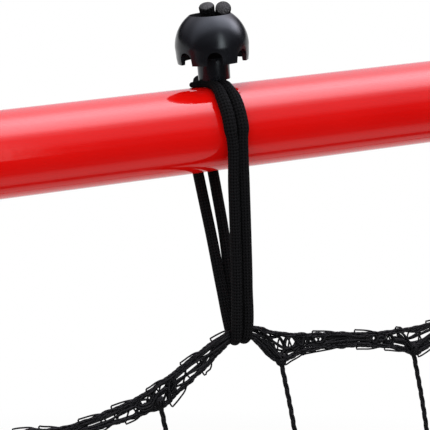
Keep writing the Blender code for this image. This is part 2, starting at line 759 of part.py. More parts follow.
def ball_mesh():
    """A cup-shaped toggle with a neck, bored through, and notches in its skirt."""
    shoulder = 0.45 * (BALL_HEIGHT - BALL_WAIST)
    top = BALL_WAIST + shoulder
    profile = [
        (BALL_MOUTH, BALL_HEIGHT),
        (math.sqrt(BALL_RADIUS**2 - shoulder**2), top),
        (BALL_RADIUS, BALL_WAIST),
        (SKIRT_RADIUS, SKIRT_BOTTOM),
        (SKIRT_RADIUS - SKIRT_WALL, SKIRT_BOTTOM),
        (NECK_RADIUS + NECK_TAPER, BALL_WAIST),
        (NECK_RADIUS, 0),
        (BORE_RADIUS, 0),
        (BORE_RADIUS, FUNNEL_BOTTOM),
        (BALL_MOUTH - BALL_RIM, BALL_HEIGHT),
        (BALL_MOUTH, BALL_HEIGHT),
    ]
    ball = new_cutter("tie_ball", turned_mesh("tie_ball", profile, BALL_SIDES), None)
    half = NOTCH_WIDTH / 2
    foot = SKIRT_BOTTOM - NOTCH_HEIGHT
    crown = SKIRT_BOTTOM + NOTCH_HEIGHT
    arch = [(half, foot), (0.6 * half, crown), (-0.6 * half, crown), (-half, foot)]
    reach = 2 * BALL_RADIUS
    start = NECK_RADIUS + 2 * SKIRT_WALL
    cutters = []
    for i in range(NOTCHES):
        mesh = plate_mesh(f"notch_{i}", arch, reach - start)
        cutter = new_cutter(f"notch_{i}", mesh, None)
        turn = math.tau * i / NOTCHES - BALL_TURN
        outward = Matrix.Rotation(turn, 4, "Z") @ Matrix.Translation((0, -(reach + start) / 2, 0))
        cutter.matrix_world = outward @ Matrix.Rotation(math.pi / 2, 4, "X")
        add_boolean(ball, cutter)
        cutters.append(cutter)
    mesh = baked(ball)
    for cutter in cutters:
        bpy.data.objects.remove(cutter, do_unlink=True)
    smooth(mesh)
    return mesh


def tie_route(forward):
    """One tie's cord as (place, radius) pairs, about the tube's axis.

    X runs along the tube, Y is back and Z is out from the net. Angles are
    from Z towards the front, and forward is the ball's own angle.
    """
    half_step = math.radians(16)
    over_tube = (TUBE_RADIUS + CLEARANCE + CORD_RADIUS) / math.cos(half_step)
    squeezed = TUBE_RADIUS + CLEARANCE + SQUEEZED
    pair = CORD_RADIUS + CORD_GAP / 2
    tight = SQUEEZED + CORD_GAP / 2
    beside = 3 * tight
    front = 0.0039
    turn_centre = TIE_REACH + 0.0013
    away = math.acos(over_tube / math.hypot(front, turn_centre))
    leave = math.pi - math.atan2(front, turn_centre) - away

    def round_tube(x, angle, lift, radius):
        return ((x, -lift * math.sin(angle), lift * math.cos(angle)), radius)

    def at(x, degrees, lift, radius):
        return round_tube(x, forward + math.radians(degrees), lift, radius)

    half = [
        at(0.0035, 0, NECK_BOTTOM + BALL_HEIGHT + STUB, CORD_RADIUS),
        at(pair, 0, NECK_BOTTOM + 0.0212, CORD_RADIUS),
        at(tight, 0, NECK_BOTTOM + 0.0168, SQUEEZED),
        at(tight, 0, NECK_BOTTOM - 0.0004, SQUEEZED),
        at(tight, -11, squeezed + 0.0001, SQUEEZED),
        at(tight + 0.0001, -34, squeezed + 0.0004, SQUEEZED),
    ]
    steps = math.ceil((forward - math.radians(34) + leave) / (2 * half_step))
    last = forward - math.radians(34)
    for i in range(1, steps + 1):
        angle = last + (-leave - last) * i / steps
        half.append(round_tube(pair + 0.0006 * (1 - i / steps), angle, over_tube, CORD_RADIUS))
    turn = front / math.cos(math.radians(30))
    for degrees in (30, 90, 150):
        angle = math.radians(degrees)
        half.append(((pair, turn * math.cos(angle), -turn_centre - turn * math.sin(angle)), CORD_RADIUS))
    rest = leave - forward - math.radians(12)
    steps = max(1, math.ceil(rest / (2.2 * half_step)))
    for i in range(steps):
        part = i / steps
        x = pair + (beside - pair) * part**2
        radius = CORD_RADIUS + (SQUEEZED - CORD_RADIUS) * part**2
        lift = over_tube + (squeezed + 0.0003 - over_tube) * part**2
        half.append(round_tube(x, leave - rest * part, lift, radius))
    half += [
        at(beside, 12, squeezed + 0.0003, SQUEEZED),
        at(beside, -12, squeezed + 0.0003, SQUEEZED),
        at(beside - 0.0005, -28, squeezed + 0.0031, SQUEEZED),
        at(0.0023, -36, squeezed + 0.0038, SQUEEZED),
    ]
    bight = at(0, -38, squeezed + 0.0041, SQUEEZED)
    other = [((-x, y, z), radius) for (x, y, z), radius in reversed(half)]
    return half + [bight] + other


def least_gap(route):
    """The least gap between parts of a cord that are apart along it, on closely set points."""
    places = []
    radii = []
    for (first, r1), (second, r2) in zip(route, route[1:]):
        for part in np.linspace(0, 1, 6)[:-1]:
            places.append(np.array(first) * (1 - part) + np.array(second) * part)
            radii.append(r1 * (1 - part) + r2 * part)
    places = np.array(places)
    radii = np.array(radii)
    steps = np.linalg.norm(np.diff(places, axis=0), axis=1)
    along = np.concatenate([[0], np.cumsum(steps)])
    apart = np.linalg.norm(places[:, None] - places[None], axis=2) - radii[:, None] - radii[None]
    near = np.abs(along[:, None] - along[None]) < 6 * CORD_RADIUS
    return apart[~near].min(), along[-1]


def cord_mesh(name, route):
    radii = [radius / CORD_RADIUS for _, radius in route]
    curve = poly_curve(name, [place for place, _ in route], radii=radii)
    curve.bevel_depth = CORD_RADIUS
    curve.bevel_resolution = 0
    curve.use_fill_caps = True
    mesh = mesh_of(curve)
    mesh.shade_smooth()
    return mesh


def make_ties(net_plane):
    ball = ball_mesh()
    cords = {}
    for forward in (BALL_FORWARD, BOTTOM_BALL_FORWARD):
        route = tie_route(forward)
        cords[forward] = cord_mesh("tie_cord", route)
        gap, length = least_gap(route)
        print(f"tie cord: {1000 * length:.0f} mm long, least gap to itself {1000 * gap:.2f} mm")
    for name in SIDES:
        angle, across, _, _ = side_shape(name)
        forward = BOTTOM_BALL_FORWARD if name == "bottom" else BALL_FORWARD
        for i, station in enumerate(tie_stations(name), 1):
            x, z = turned(angle, station, across)
            place = (x, 0, MIDDLE_HEIGHT + z)
            tie = new_empty(f"tie_{name}_{i}", net_plane, place, (0, angle, 0))
            new_piece(f"tie_cord_{name}_{i}", cords[forward], ELASTIC, tie)
            up = (0, -NECK_BOTTOM * math.sin(forward), NECK_BOTTOM * math.cos(forward))
            new_piece(f"tie_ball_{name}_{i}", ball, BLACK, tie, up, (forward, 0, 0))


def stand_on_origin(stand):
    """Moves the whole stand so that the origin is on the floor under its middle."""
    bpy.context.view_layer.update()
    graph = bpy.context.evaluated_depsgraph_get()
    lows = []
    highs = []
    for piece in PARTS.objects:
        if piece.type != "MESH":
            continue
        evaluated = piece.evaluated_get(graph)
        mesh = evaluated.to_mesh()
        points = np.empty(len(mesh.vertices) * 3, np.float32)
        mesh.vertices.foreach_get("co", points)
        evaluated.to_mesh_clear()
        world = np.array(evaluated.matrix_world)
        points = points.reshape(-1, 3) @ world[:3, :3].T + world[:3, 3]
        lows.append(points.min(axis=0))
        highs.append(points.max(axis=0))
    low = np.min(lows, axis=0)
    high = np.max(highs, axis=0)
    stand.location.x -= (low[0] + high[0]) / 2
    stand.location.y -= (low[1] + high[1]) / 2
    stand.location.z -= low[2]


clear_scene()
PARTS = new_collection("soccer_rebounder")
CUTTERS = new_collection("cutters")
RED = new_material("red powder coat", (0.74, 0.01, 0.008), 0.18, coat=0.6)
BLACK = new_material("black plastic", (0.016, 0.017, 0.019), 0.42)
ELASTIC = new_material("black elastic cord", (0.012, 0.012, 0.014), 0.75)
TWINE_BLACK = new_material("black net twine", (0.014, 0.014, 0.016), 0.8)
ZINC = new_material("zinc plated plate", (0.55, 0.56, 0.58), 0.38, metallic=1.0)
STEEL = new_material("zinc plated bolt", (0.6, 0.6, 0.62), 0.3, metallic=1.0)

stand_root = new_empty("stand")
net_plane_root = new_empty("net_plane", stand_root, (0, 0, RAIL_HEIGHT), (-NET_LEAN, 0, 0))
leg_root = new_empty("leg_pivot", net_plane_root, (0, PIVOT_BACK, PIVOT_HEIGHT), (FOLD_ANGLE, 0, 0))
make_front_frame(net_plane_root)
make_buttons(net_plane_root)
make_hinges(net_plane_root, leg_root)
make_rear_leg(leg_root)
make_feet(net_plane_root, leg_root)
make_border(net_plane_root)
make_net(net_plane_root)
make_ties(net_plane_root)
stand_on_origin(stand_root)
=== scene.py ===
"""Looks of the soccer rebounder: painted tubes, knitted net border, twisted twine and ball ties.

Metres, +Z up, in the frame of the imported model. The net leans back and faces -Y.
"""

import math

import bmesh
import bpy
import numpy as np
from mathutils import Matrix, Vector


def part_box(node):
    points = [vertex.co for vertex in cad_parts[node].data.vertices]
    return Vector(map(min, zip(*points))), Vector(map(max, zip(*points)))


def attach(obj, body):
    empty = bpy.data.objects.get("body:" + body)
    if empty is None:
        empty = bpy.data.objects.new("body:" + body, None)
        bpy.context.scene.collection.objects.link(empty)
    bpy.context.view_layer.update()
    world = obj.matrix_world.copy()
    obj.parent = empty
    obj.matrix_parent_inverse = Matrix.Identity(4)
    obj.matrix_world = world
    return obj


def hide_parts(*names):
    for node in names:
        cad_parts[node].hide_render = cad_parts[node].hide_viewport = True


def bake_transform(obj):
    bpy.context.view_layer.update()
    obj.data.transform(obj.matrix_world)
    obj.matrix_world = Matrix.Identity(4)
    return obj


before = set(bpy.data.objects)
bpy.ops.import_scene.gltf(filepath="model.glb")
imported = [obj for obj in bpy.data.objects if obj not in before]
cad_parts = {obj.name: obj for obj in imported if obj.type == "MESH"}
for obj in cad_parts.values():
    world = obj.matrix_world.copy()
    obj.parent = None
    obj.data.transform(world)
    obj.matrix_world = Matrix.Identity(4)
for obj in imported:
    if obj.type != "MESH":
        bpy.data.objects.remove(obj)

MM = 0.001

# Frame tube
TUBE_RADIUS = 0.016
TUBE_WALL = 0.0015
FRAME_WIDTH = 1.0
FRAME_HEIGHT = 1.0
CORNER_RADIUS = 0.100
NET_LEAN = math.radians(16)
LEG_LEAN = math.radians(16)
JOINT_HEIGHT = 0.450
SPIGOT_LENGTH = 0.060
SWAGE_LENGTH = 0.004
CLEARANCE = 0.0003
FOOT_SOLE = 0.010
TUBE_SIDES = 64

# Snap button
BUTTON_RADIUS = 0.004
BUTTON_HEIGHT = 0.030
BUTTON_PROUD = 0.003
BUTTON_DOME = 0.0026
BUTTON_HOLE = 0.0043
BUTTON_HOLE_DEPTH = 0.04

# Hinge
PIVOT_HEIGHT = 0.780
PIVOT_BACK = 0.056
LEG_OVERHANG = 0.022
CLAMP_DROP = 0.048
PLATE = 0.003
BRACKET_EDGE = 0.012
BRACKET_FRONT = 0.002
BRACKET_ABOVE = 0.008
BRACKET_BELOW = 0.050
WEB_TOP = 0.004
WEB_BOTTOM = 0.044
BOLT_RADIUS = 0.004
BOLT_HEAD_RADIUS = 0.0075
BOLT_HEAD = 0.0045
NUT_HEIGHT = 0.0065
THREAD_PITCH = 0.00125
HEX_CHAMFER = 0.0011
HEX_FLAT = 0.735
HEX_BEVEL = 0.00018
HEAD_SUNK = 0.0002
WASHER_FACE = 0.0005
THREAD_DEPTH = 0.0005
POINT_TAPER = 0.0007
RIVET_RADIUS = 0.0062
RIVET_HEIGHT = 0.0008
BORE_PLAY = 0.0001
END_OUT = 0.002
END_EDGE = 0.00008
HINGE_THREAD = 0.012
POST_THREAD = 0.006
SLOT_THREAD = 0.015
FRAME_BOLT_DROP = 0.022
KNOB_RADIUS = 0.020
KNOB_LOBE_DEPTH = 0.0035
KNOB_LOBES = 5
KNOB_THICKNESS = 0.012
HUB_HEIGHT = 0.005
CAP_DOME = 0.0035
CAP_EDGE = 0.0008
CAP_WALL = 0.002
CAP_DEPTH = 0.010

# Feet
FOOT_WALL = 0.004
FOOT_LENGTH = 0.070
FOOT_HALF_WIDTH = 0.022
GROOVE_STEP = 0.006
GROOVE_DEPTH = 0.0014
FIRST_GROOVE = -0.0165
FOOT_CLIP_ABOVE = math.radians(12)
FRONT_FOOT_INSET = 0.139
REAR_FOOT_INSET = 0.219

# Net
MESH = 0.0555
TWINE_RADIUS = 0.00105
PLY_RADIUS = 0.00056
TWINE_LAY = 0.0125
CORNER_PULL = 0.100
EDGE_FADE = 0.5
SAG_POWER = 1.1
PULL = 0.0048
PULL_REACH = 0.0052
BORDER_HALF = 0.0021
BORDER_STEP = 0.0009
RAIL_LAY = 0.0088
STITCH = 0.0137
ZIGZAG = 0.0125
RAIL_THREAD = 0.00054
LACE_THREAD = 0.00036
FILL_THREAD = 0.00054
EDGE_THREAD = 0.00034
END_INSIDE = 0.0006
GATHERED = 16
HERO_GATHERED = 7
KNOT_JITTER = 0.0012
DEPTH_JITTER = 0.0006
KNOT_SIZE = (0.0018, 0.0015, 0.0018)
KNOT_THREAD = 0.00062
END_KNOT_SIZE = (0.0020, 0.0014, 0.0025)
END_KNOT_THREAD = 0.00046

# Elastic tie
TIE_REACH = 0.079
CORD_RADIUS = 0.00213
TIE_DROP = 0.0781
TIE_TURN = 0.0024
OVER_TUBE = 0.0002
ROUTE_STEP = math.radians(9)
FRONT_HALF = 0.00215
FLATTENED = 0.00243
BALL_SEAT = 0.0185
BALL_FORWARD = math.radians(6)
BOTTOM_BALL_FORWARD = math.radians(65)
BALL_LEAN = math.radians(3.5)
STITCH_COLUMNS = 12
STITCH_LENGTH = 0.0012

# Ball of the tie, heights from the bottom of its neck
BALL_HEIGHT = 0.0244
BALL_RADIUS = 0.0139
BALL_WAIST = 0.0127
BALL_MOUTH = 0.0077
BALL_RIM = 0.0006
SKIRT_BOTTOM = 0.0068
SKIRT_RADIUS = 0.0133
SKIRT_WALL = 0.0015
NECK_RADIUS = 0.006
NECK_TAPER = 0.0001
BORE_RADIUS = 0.0034
FUNNEL_BOTTOM = 0.015
NECK_SEEN = 0.0084
NOTCHES = 7
NOTCH_WIDTH = 0.0057
NOTCH_HEIGHT = 0.0049
BALL_BEVEL = 0.00028
BALL_TURN = math.radians(21)

HALF_WIDTH = FRAME_WIDTH / 2 - TUBE_RADIUS
TOP_HEIGHT = FRAME_HEIGHT - 2 * TUBE_RADIUS
MIDDLE_HEIGHT = TOP_HEIGHT / 2
RAIL_HEIGHT = TUBE_RADIUS + FOOT_SOLE
FOLD_ANGLE = NET_LEAN + LEG_LEAN
PIVOT_RISE = PIVOT_HEIGHT * math.cos(NET_LEAN) - PIVOT_BACK * math.sin(NET_LEAN)
LEG_LENGTH = PIVOT_RISE / math.cos(LEG_LEAN)
SPIGOT_RADIUS = TUBE_RADIUS - TUBE_WALL - CLEARANCE
HALF_INSIDE = TUBE_RADIUS + CLEARANCE
HALF_OUTSIDE = HALF_INSIDE + PLATE
BOTH = ((-1, "left"), (1, "right"))

# Each side's turn, its ties along it in meshes from its middle, and the border's sags between them
SIDES = {
    "top": (0, (-4.72, -1.514, 1.687, 4.72), (0.019, 0.024, 0.011)),
    "left": (-90, (-5.405, -2.25, 1.26, 3.73), (0.020, 0.023, 0.014)),
    "right": (90, (-3.70, -1.30, 2.235, 5.37), (0.015, 0.021, 0.018)),
    "bottom": (180, (-4.72, -1.586, 1.622, 4.72), (0.021, 0.022, 0.020)),
}
HERO_SIDE = "top"
HERO_TIE = 3

# The place along the top tube that the photograph's measures count from
HERO_STATION = 1.7135 * MESH

# The border's two rails beside the photographed tie, in mm along the tube and out from its axis
HERO_OUTER = (
    (-90, -102.2), (-74, -101.8), (-66, -100.6), (-57, -98.6), (-50, -97.2), (-41, -94.0),
    (-36, -91.4), (-31.5, -89.5), (-21.8, -84.2), (-12.8, -79.6), (-7, -77.4), (-5, -77.1),
    (0, -77.2), (3.8, -76.9), (6.5, -77.9), (10.3, -80.0), (17.3, -82.0), (28.7, -83.8),
    (38.4, -85.0), (51.3, -86.9), (61.9, -87.8), (72, -88.0), (78, -87.6), (90, -86.9),
)
HERO_INNER = (
    (-90, -105.2), (-66.6, -104.2), (-51.8, -102.6), (-42.8, -100.9), (-37.3, -100.7),
    (-33.7, -98.8), (-29.8, -95.8), (-23.7, -91.9), (-17, -87.9), (-12.5, -84.3), (-8, -80.9),
    (-5, -79.8), (0, -79.6), (3, -80.8), (5.4, -83.8), (7, -86.2), (9.6, -89.6), (13.2, -92.3),
    (16.8, -90.6), (23.2, -88.8), (32.2, -88.9), (46.6, -90.3), (55.9, -92.1), (61, -93.2),
    (66.6, -95.2), (70.9, -97.7), (74.5, -97.0), (79, -95.2), (90, -92.3),
)
HERO_REACH = 0.090
HERO_BLEND = 0.010
HERO_NEAR = 0.15

# Edge loops there, as (start, length, height off the rail), in mm
HERO_OUTER_LOOPS = (
    (-85.5, 7.5, 1.6), (-70.5, 8.0, 1.6), (-57.0, 8.2, 1.6), (-42.5, 7.6, 1.5), (-27.2, 7.6, 1.7),
    (-14.0, 7.6, 1.8), (27.8, 9.6, 1.6), (45.8, 8.2, 1.7), (63.8, 3.4, 1.7), (78.0, 8.0, 1.7),
)
HERO_INNER_LOOPS = (
    (-80.0, 7.0, 1.9), (-65.0, 6.5, 1.8), (-52.0, 6.4, 1.9), (-34.0, 7.6, 2.4), (-20.0, 4.8, 2.2),
    (14.2, 10.0, 1.7), (22.0, 15.0, 1.5), (47.0, 9.0, 1.7), (58.0, 8.0, 1.6), (73.0, 9.0, 2.0),
)

# An edge loop's middle places, as shares of its length, and how far each of its places stands off
LOOP_SHARES = (0.3, 0.6, 0.9, 1.2)
LOOP_RISES = (0.1, 0.8, 0.98, 1.0, 0.97, 0.90, 0.62, 0.04)

# Where that stretch is open in its middle, as (middle, half length) in mm
HERO_WINDOWS = (
    (-43.5, 3.4), (-32.7, 1.3), (18.3, 3.0), (24.8, 1.1), (30.4, 2.4), (54.2, 1.3), (60.5, 1.8),
)
WINDOW_SHARES = (0.94, 0.06, 0.24, 0.40, 0.96)

# Where the photographed strands hang from the border, in mm as above
HERO_KNOTS = ((-37.7, -101.0), (13.4, -92.8), (70.9, -97.9))
HERO_LEANS = (2.6, 3.6, 2.6)

# Camera, from the photographed tie's place on the tube's axis
CAMERA_OFFSET = Vector((-0.3048, -0.6568, 0.2019))
CAMERA_YAW = math.radians(24.7)
CAMERA_PITCH = math.radians(18.1)
CAMERA_LENS = 166.8
SENSOR = 36.0

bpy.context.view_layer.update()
foot_low, foot_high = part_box("front_foot_left")
NET_PLANE = Matrix.Translation((0, (foot_low.y + foot_high.y) / 2, RAIL_HEIGHT))
NET_PLANE = NET_PLANE @ Matrix.Rotation(-NET_LEAN, 4, "X")
LEG_PIVOT = NET_PLANE @ Matrix.Translation((0, PIVOT_BACK, PIVOT_HEIGHT))
LEG_PIVOT = LEG_PIVOT @ Matrix.Rotation(FOLD_ANGLE, 4, "X")
NET_MIDDLE = NET_PLANE @ Matrix.Translation((0, 0, MIDDLE_HEIGHT))
NET_OUT = NET_MIDDLE.col[1].xyz
HERO_POINT = NET_MIDDLE @ Vector((HERO_STATION, 0, MIDDLE_HEIGHT))

random = np.random.default_rng(16)


# Camera, floor and light

def added(name, data, place=None):
    """A new object in the scene."""
    piece = bpy.data.objects.new(name, data)
    bpy.context.scene.collection.objects.link(piece)
    if place is not None:
        piece.location = place
    return piece


def looking(way):
    return way.to_track_quat("-Z", "Y").to_euler()


def make_camera():
    data = bpy.data.cameras.new("camera")
    data.lens = CAMERA_LENS
    data.sensor_width = SENSOR
    data.clip_end = 100
    camera = added("camera", data, HERO_POINT + CAMERA_OFFSET)
    level = math.cos(CAMERA_PITCH)
    camera.rotation_euler = looking(Vector((
        math.sin(CAMERA_YAW) * level, math.cos(CAMERA_YAW) * level, -math.sin(CAMERA_PITCH)
    )))
    bpy.context.scene.camera = camera


def make_lamp(name, place, size, power):
    data = bpy.data.lights.new(name, "AREA")
    data.shape = "RECTANGLE"
    data.size, data.size_y = size
    data.energy = power
    lamp = added(name, data, place)
    lamp.rotation_euler = looking(Vector(LAMP_TARGET) - Vector(place))
    lamp.visible_glossy = False
    lamp.visible_camera = False


class Nodes:
    """Short calls for building a node tree."""

    def __init__(self, tree, cleared=True):
        self.tree = tree
        if cleared:
            tree.nodes.clear()

    def add(self, kind, *inputs, out=0, settings=None, **named):
        """A new node's output. Inputs come by number or by name, as values or as other outputs."""
        node = self.tree.nodes.new("ShaderNode" + kind)
        for name, value in (settings or {}).items():
            setattr(node, name, value)
        for key, value in [*enumerate(inputs), *named.items()]:
            if value is None:
                continue
            if isinstance(value, bpy.types.NodeSocket):
                self.tree.links.new(value, node.inputs[key])
            else:
                node.inputs[key].default_value = value
        return node.outputs if out is None else node.outputs[out]

    def math(self, operation, first, second=0.0):
        return self.add("Math", first, second, settings={"operation": operation})

    def product(self, *values):
        made = values[0]
        for value in values[1:]:
            made = self.math("MULTIPLY", made, value)
        return made

    def ramp(self, value, stops):
        """A colour ramp over 0 to 1. Stops are (place, colour or grey)."""
        colour_out = self.add("ValToRGB", value, out="Color")
        elements = colour_out.node.color_ramp.elements
        while len(elements) < len(stops):
            elements.new(0.5)
        for element, (place, colour) in zip(elements, stops):
            element.position = place
            grey = isinstance(colour, (int, float))
            element.color = (colour,) * 3 + (1,) if grey else (*colour, 1)
        return colour_out

    def graph(self, value, table, top=1.0, unit=1.0):
        """A curve through a table of (place in units, level). It gives levels as shares of top."""
        low, high = table[0][0], table[-1][0]
        share = self.map_range(value, low * unit, high * unit, 0, 1)
        return self.ramp(share, [((at - low) / (high - low), level / top) for at, level in table])

    def noise(self, place, scale, detail=3.0, roughness=0.5):
        return self.add(
            "TexNoise", out="Fac", Vector=place, Scale=scale, Detail=detail, Roughness=roughness
        )

    def map_range(self, value, low, high, to_low, to_high):
        return self.add("MapRange", value, low, high, to_low, to_high)

    def bump(self, height, distance, strength):
        return self.add("Bump", out="Normal", Height=height, Distance=distance, Strength=strength)

    def far_from(self, value, middle):
        return self.math("ABSOLUTE", self.math("SUBTRACT", value, middle))

    def glow(self, kind, colour, strength=1.0):
        return self.add(kind, Color=colour, Strength=strength)


LAMP_TARGET = (0, 0, 0.5)
WHITE = (1, 1, 1, 1)
FLOOR_GREY = (0.82, 0.82, 0.82, 1)
FLOOR_HALF = 40
FLOOR_DROP = 0.0002

# How bright the studio looks in reflections, by degrees from straight up towards the back
STUDIO_GLOW = (
    (-180, 0.30), (-112, 0.04), (-75, 0.10), (-62, 0.50), (-42, 0.62), (-32, 1.5), (-22, 4.2),
    (-12, 5.4), (6, 6.9), (18, 5.6), (32, 2.8), (42, 2.0), (58, 1.5), (78, 1.0), (100, 0.95),
    (180, 1.0),
)
GLOW_TOP = 7.0
GLOW_TINT = (1.0, 0.955, 1.07)
EVEN_GLOW = 0.62
STRIP_GLOW = 8.0

# The share of that glow by how far a reflection points to the right
SIDE_GLOW = (
    (-1, 0.10), (-0.8, 0.21), (-0.6, 0.36), (-0.4, 0.50), (0, 0.64), (0.24, 0.92), (0.32, 1.0),
    (0.48, 1.0), (0.7, 1.05), (0.9, 1.7), (1, 1.6),
)
SIDE_TOP = 1.7

# The floor's painted glow, seen only in reflections, by its place from front to back in metres
FLOOR_GLOW = (
    (-2.0, 0.04), (-1.1, 0.10), (-0.75, 0.50), (-0.45, 0.62), (-0.25, 0.40), (-0.14, 0.16),
    (-0.04, 0.50), (0.2, 0.75), (0.6, 0.95), (2.0, 1.0),
)


def make_world():
    """White behind everything, even light on it, and a soft box overhead in reflections."""
    world = bpy.data.worlds.new("studio")
    bpy.context.scene.world = world
    world.use_nodes = True
    nodes = Nodes(world.node_tree)
    place = nodes.add("TexCoord", out="Generated")
    x, y, z = nodes.add("SeparateXYZ", place, out=None)
    angle = nodes.math("ARCTAN2", y, z)
    overhead = nodes.graph(angle, STUDIO_GLOW, GLOW_TOP, math.pi / 180)
    tinted = nodes.add("VectorMath", overhead, GLOW_TINT, settings={"operation": "MULTIPLY"})
    side = nodes.product(nodes.graph(x, SIDE_GLOW, SIDE_TOP), SIDE_TOP)

    # Dimmer towards the horizon, away from the middle and less so on the left
    aside = nodes.map_range(nodes.far_from(x, 0.4), 0.1, 0.35, 0, 1)
    height = nodes.math("ADD", z, nodes.math("MAXIMUM", nodes.product(x, -0.28), 0))
    low = nodes.math("SUBTRACT", nodes.map_range(height, 0.25, 0.58, 0.03, 1), 1.0)
    low = nodes.math("ADD", nodes.product(aside, low), 1.0)

    # A narrow bright strip low in front
    strip = nodes.product(
        nodes.map_range(nodes.far_from(x, 0.12), 0.03, 0.2, 1, 0),
        nodes.map_range(z, 0.3, 0.8, 1, 0),
        nodes.map_range(z, -0.3, -0.08, 0, 1),
        nodes.map_range(y, -0.5, -0.7, 0, 1),
    )
    path = nodes.add("LightPath", out=None)
    even = nodes.glow("Background", WHITE, EVEN_GLOW)
    white = nodes.glow("Background", WHITE)
    studio = nodes.glow("Background", tinted, nodes.product(side, low, GLOW_TOP))
    band = nodes.glow("Background", WHITE, STRIP_GLOW)
    seen = nodes.add("MixShader", strip, studio, band)
    seen = nodes.add("MixShader", path["Is Glossy Ray"], even, seen)
    straight = nodes.math("MAXIMUM", path["Is Camera Ray"], path["Is Transmission Ray"])
    nodes.add("OutputWorld", nodes.add("MixShader", straight, seen, white), out=None)


def make_floor():
    """A pale floor that keeps the object's shadow near it, is white farther off and shows a painted
    glow in reflections.
    """
    mesh = from_shape("floor", lambda shape: bmesh.ops.create_grid(
        shape, x_segments=1, y_segments=1, size=FLOOR_HALF
    ))
    floor = added("floor", mesh, (0, 0, -FLOOR_DROP))
    material = bpy.data.materials.new("floor")
    material.use_nodes = True
    nodes = Nodes(material.node_tree)
    place = nodes.add("TexCoord", out="Object")
    reflection_glow_level = nodes.graph(nodes.add("SeparateXYZ", place, out="Y"), FLOOR_GLOW)
    far = nodes.add("VectorMath", place, out="Value", settings={"operation": "LENGTH"})
    path = nodes.add("LightPath", out=None)
    far_seen = nodes.product(nodes.map_range(far, 0.75, 2.0, 0.0, 1.0), path["Is Camera Ray"])
    pale = nodes.add("BsdfDiffuse", FLOOR_GREY)
    seen = nodes.add("MixShader", far_seen, pale, nodes.glow("Emission", WHITE))
    # Painted glow: in reflections the floor emits a banded brightness by its place instead of its
    # lit colour
    painted_floor_glow = nodes.glow("Emission", reflection_glow_level)
    seen = nodes.add("MixShader", path["Is Glossy Ray"], seen, painted_floor_glow)
    nodes.add("OutputMaterial", seen, out=None)
    mesh.materials.append(material)


# Materials

class Surface(Nodes):
    """A material's tree with its shader, its place socket and short calls for both."""

    def __init__(self, name, colour, roughness, **sockets):
        self.material = bpy.data.materials.new(name)
        self.material.use_nodes = True
        self.material.diffuse_color = (*colour, 1)
        super().__init__(self.material.node_tree, cleared=False)
        self.shader = self.tree.nodes["Principled BSDF"]
        sockets = {"Base_Color": (*colour, 1), "Roughness": roughness, **sockets}
        for socket, value in sockets.items():
            self.shader.inputs[socket.replace("_", " ")].default_value = value
        self.place = self.add("TexCoord", out="Object")

    def finished(self, **sockets):
        """The material, once these outputs drive its shader."""
        for socket, value in sockets.items():
            self.tree.links.new(value, self.shader.inputs[socket.replace("_", " ")])
        return self.material


def shaded(colour, *shares):
    """The colour with each channel scaled by one share, or by its own."""
    return tuple(c * k for c, k in zip(colour, shares * (3 // len(shares))))


def red_paint():
    """Glossy powder coat with a fine orange peel and slightly uneven depth of colour."""
    paint = Surface("red_powder_coat", (0.7, 0.004, 0.003), 0.08, IOR=1.5)
    reds = [(0.3, (0.66, 0.0030, 0.0022)), (0.7, (0.74, 0.0046, 0.0034))]
    return paint.finished(
        Base_Color=paint.ramp(paint.noise(paint.place, 14, 3), reds),
        Roughness=paint.map_range(paint.noise(paint.place, 60, 4), 0.3, 0.7, 0.05, 0.10),
        Normal=paint.bump(paint.noise(paint.place, 420, 2), 0.00003, 0.35),
    )


def moulded(name, colour, roughness, grain, depth, **sockets):
    """Moulded plastic or rubber: a fine grain in the surface and uneven sheen."""
    skin = Surface(name, colour, roughness, **sockets)
    greys = [(0.3, shaded(colour, 0.8)), (0.7, shaded(colour, 1.25))]
    patches = skin.noise(skin.place, 160, 5, 0.6)
    return skin.finished(
        Base_Color=skin.ramp(skin.noise(skin.place, 90, 4), greys),
        Roughness=skin.map_range(patches, 0.25, 0.75, roughness - 0.05, roughness + 0.05),
        Normal=skin.bump(skin.noise(skin.place, grain, 3), depth, 0.6),
    )


def braided_cord():
    """Knitted cover of elastic cord: fine columns of stitches along the cord, with painted shade in
    the grooves between them.
    """
    cover = Surface("braided_cord", (0.004, 0.004, 0.0045), 0.65, Specular_IOR_Level=0.02,
                    Sheen_Weight=0.008, Sheen_Roughness=0.5)
    along = cover.add("UVMap", out="UV", settings={"uv_map": "along"})
    length, across, _ = cover.add("SeparateXYZ", along, out=None)
    column = cover.math("FRACT", cover.product(across, STITCH_COLUMNS))
    aside = cover.product(cover.far_from(column, 0.5), 2.0)
    groove = cover.math("SUBTRACT", 1.0, cover.math("POWER", aside, 2.5))
    turn = cover.product(length, math.tau / STITCH_LENGTH)
    turn = cover.math("ADD", turn, cover.product(aside, 2.6))
    stitch = cover.product(cover.math("SINE", turn), 0.35)
    height = cover.math("ADD", cover.product(groove, 0.65), stitch)
    # Painted shade: low places between stitches go near black, and raised stitches keep the cord's
    # grey
    groove_shade_colours = [(0.15, (0.0003, 0.0003, 0.0004)), (0.85, (0.0088, 0.0088, 0.0096))]
    return cover.finished(
        Base_Color=cover.ramp(cover.map_range(height, -0.3, 0.9, 0, 1), groove_shade_colours),
        Normal=cover.bump(height, 0.00022, 1.0),
    )


def cord_core():
    """Cut end of the cord: pale rubber threads in a dark cover."""
    core = Surface("cord_core", (0.05, 0.05, 0.05), 0.7)
    cells = core.add("TexVoronoi", out="Distance", Vector=core.place, Scale=1900.0)
    dots = [(0.12, (0.12, 0.12, 0.12)), (0.34, (0.018, 0.018, 0.019)), (0.55, (0.003,) * 3)]
    return core.finished(Base_Color=core.ramp(cells, dots), Normal=core.bump(cells, -0.0003, 0.8))


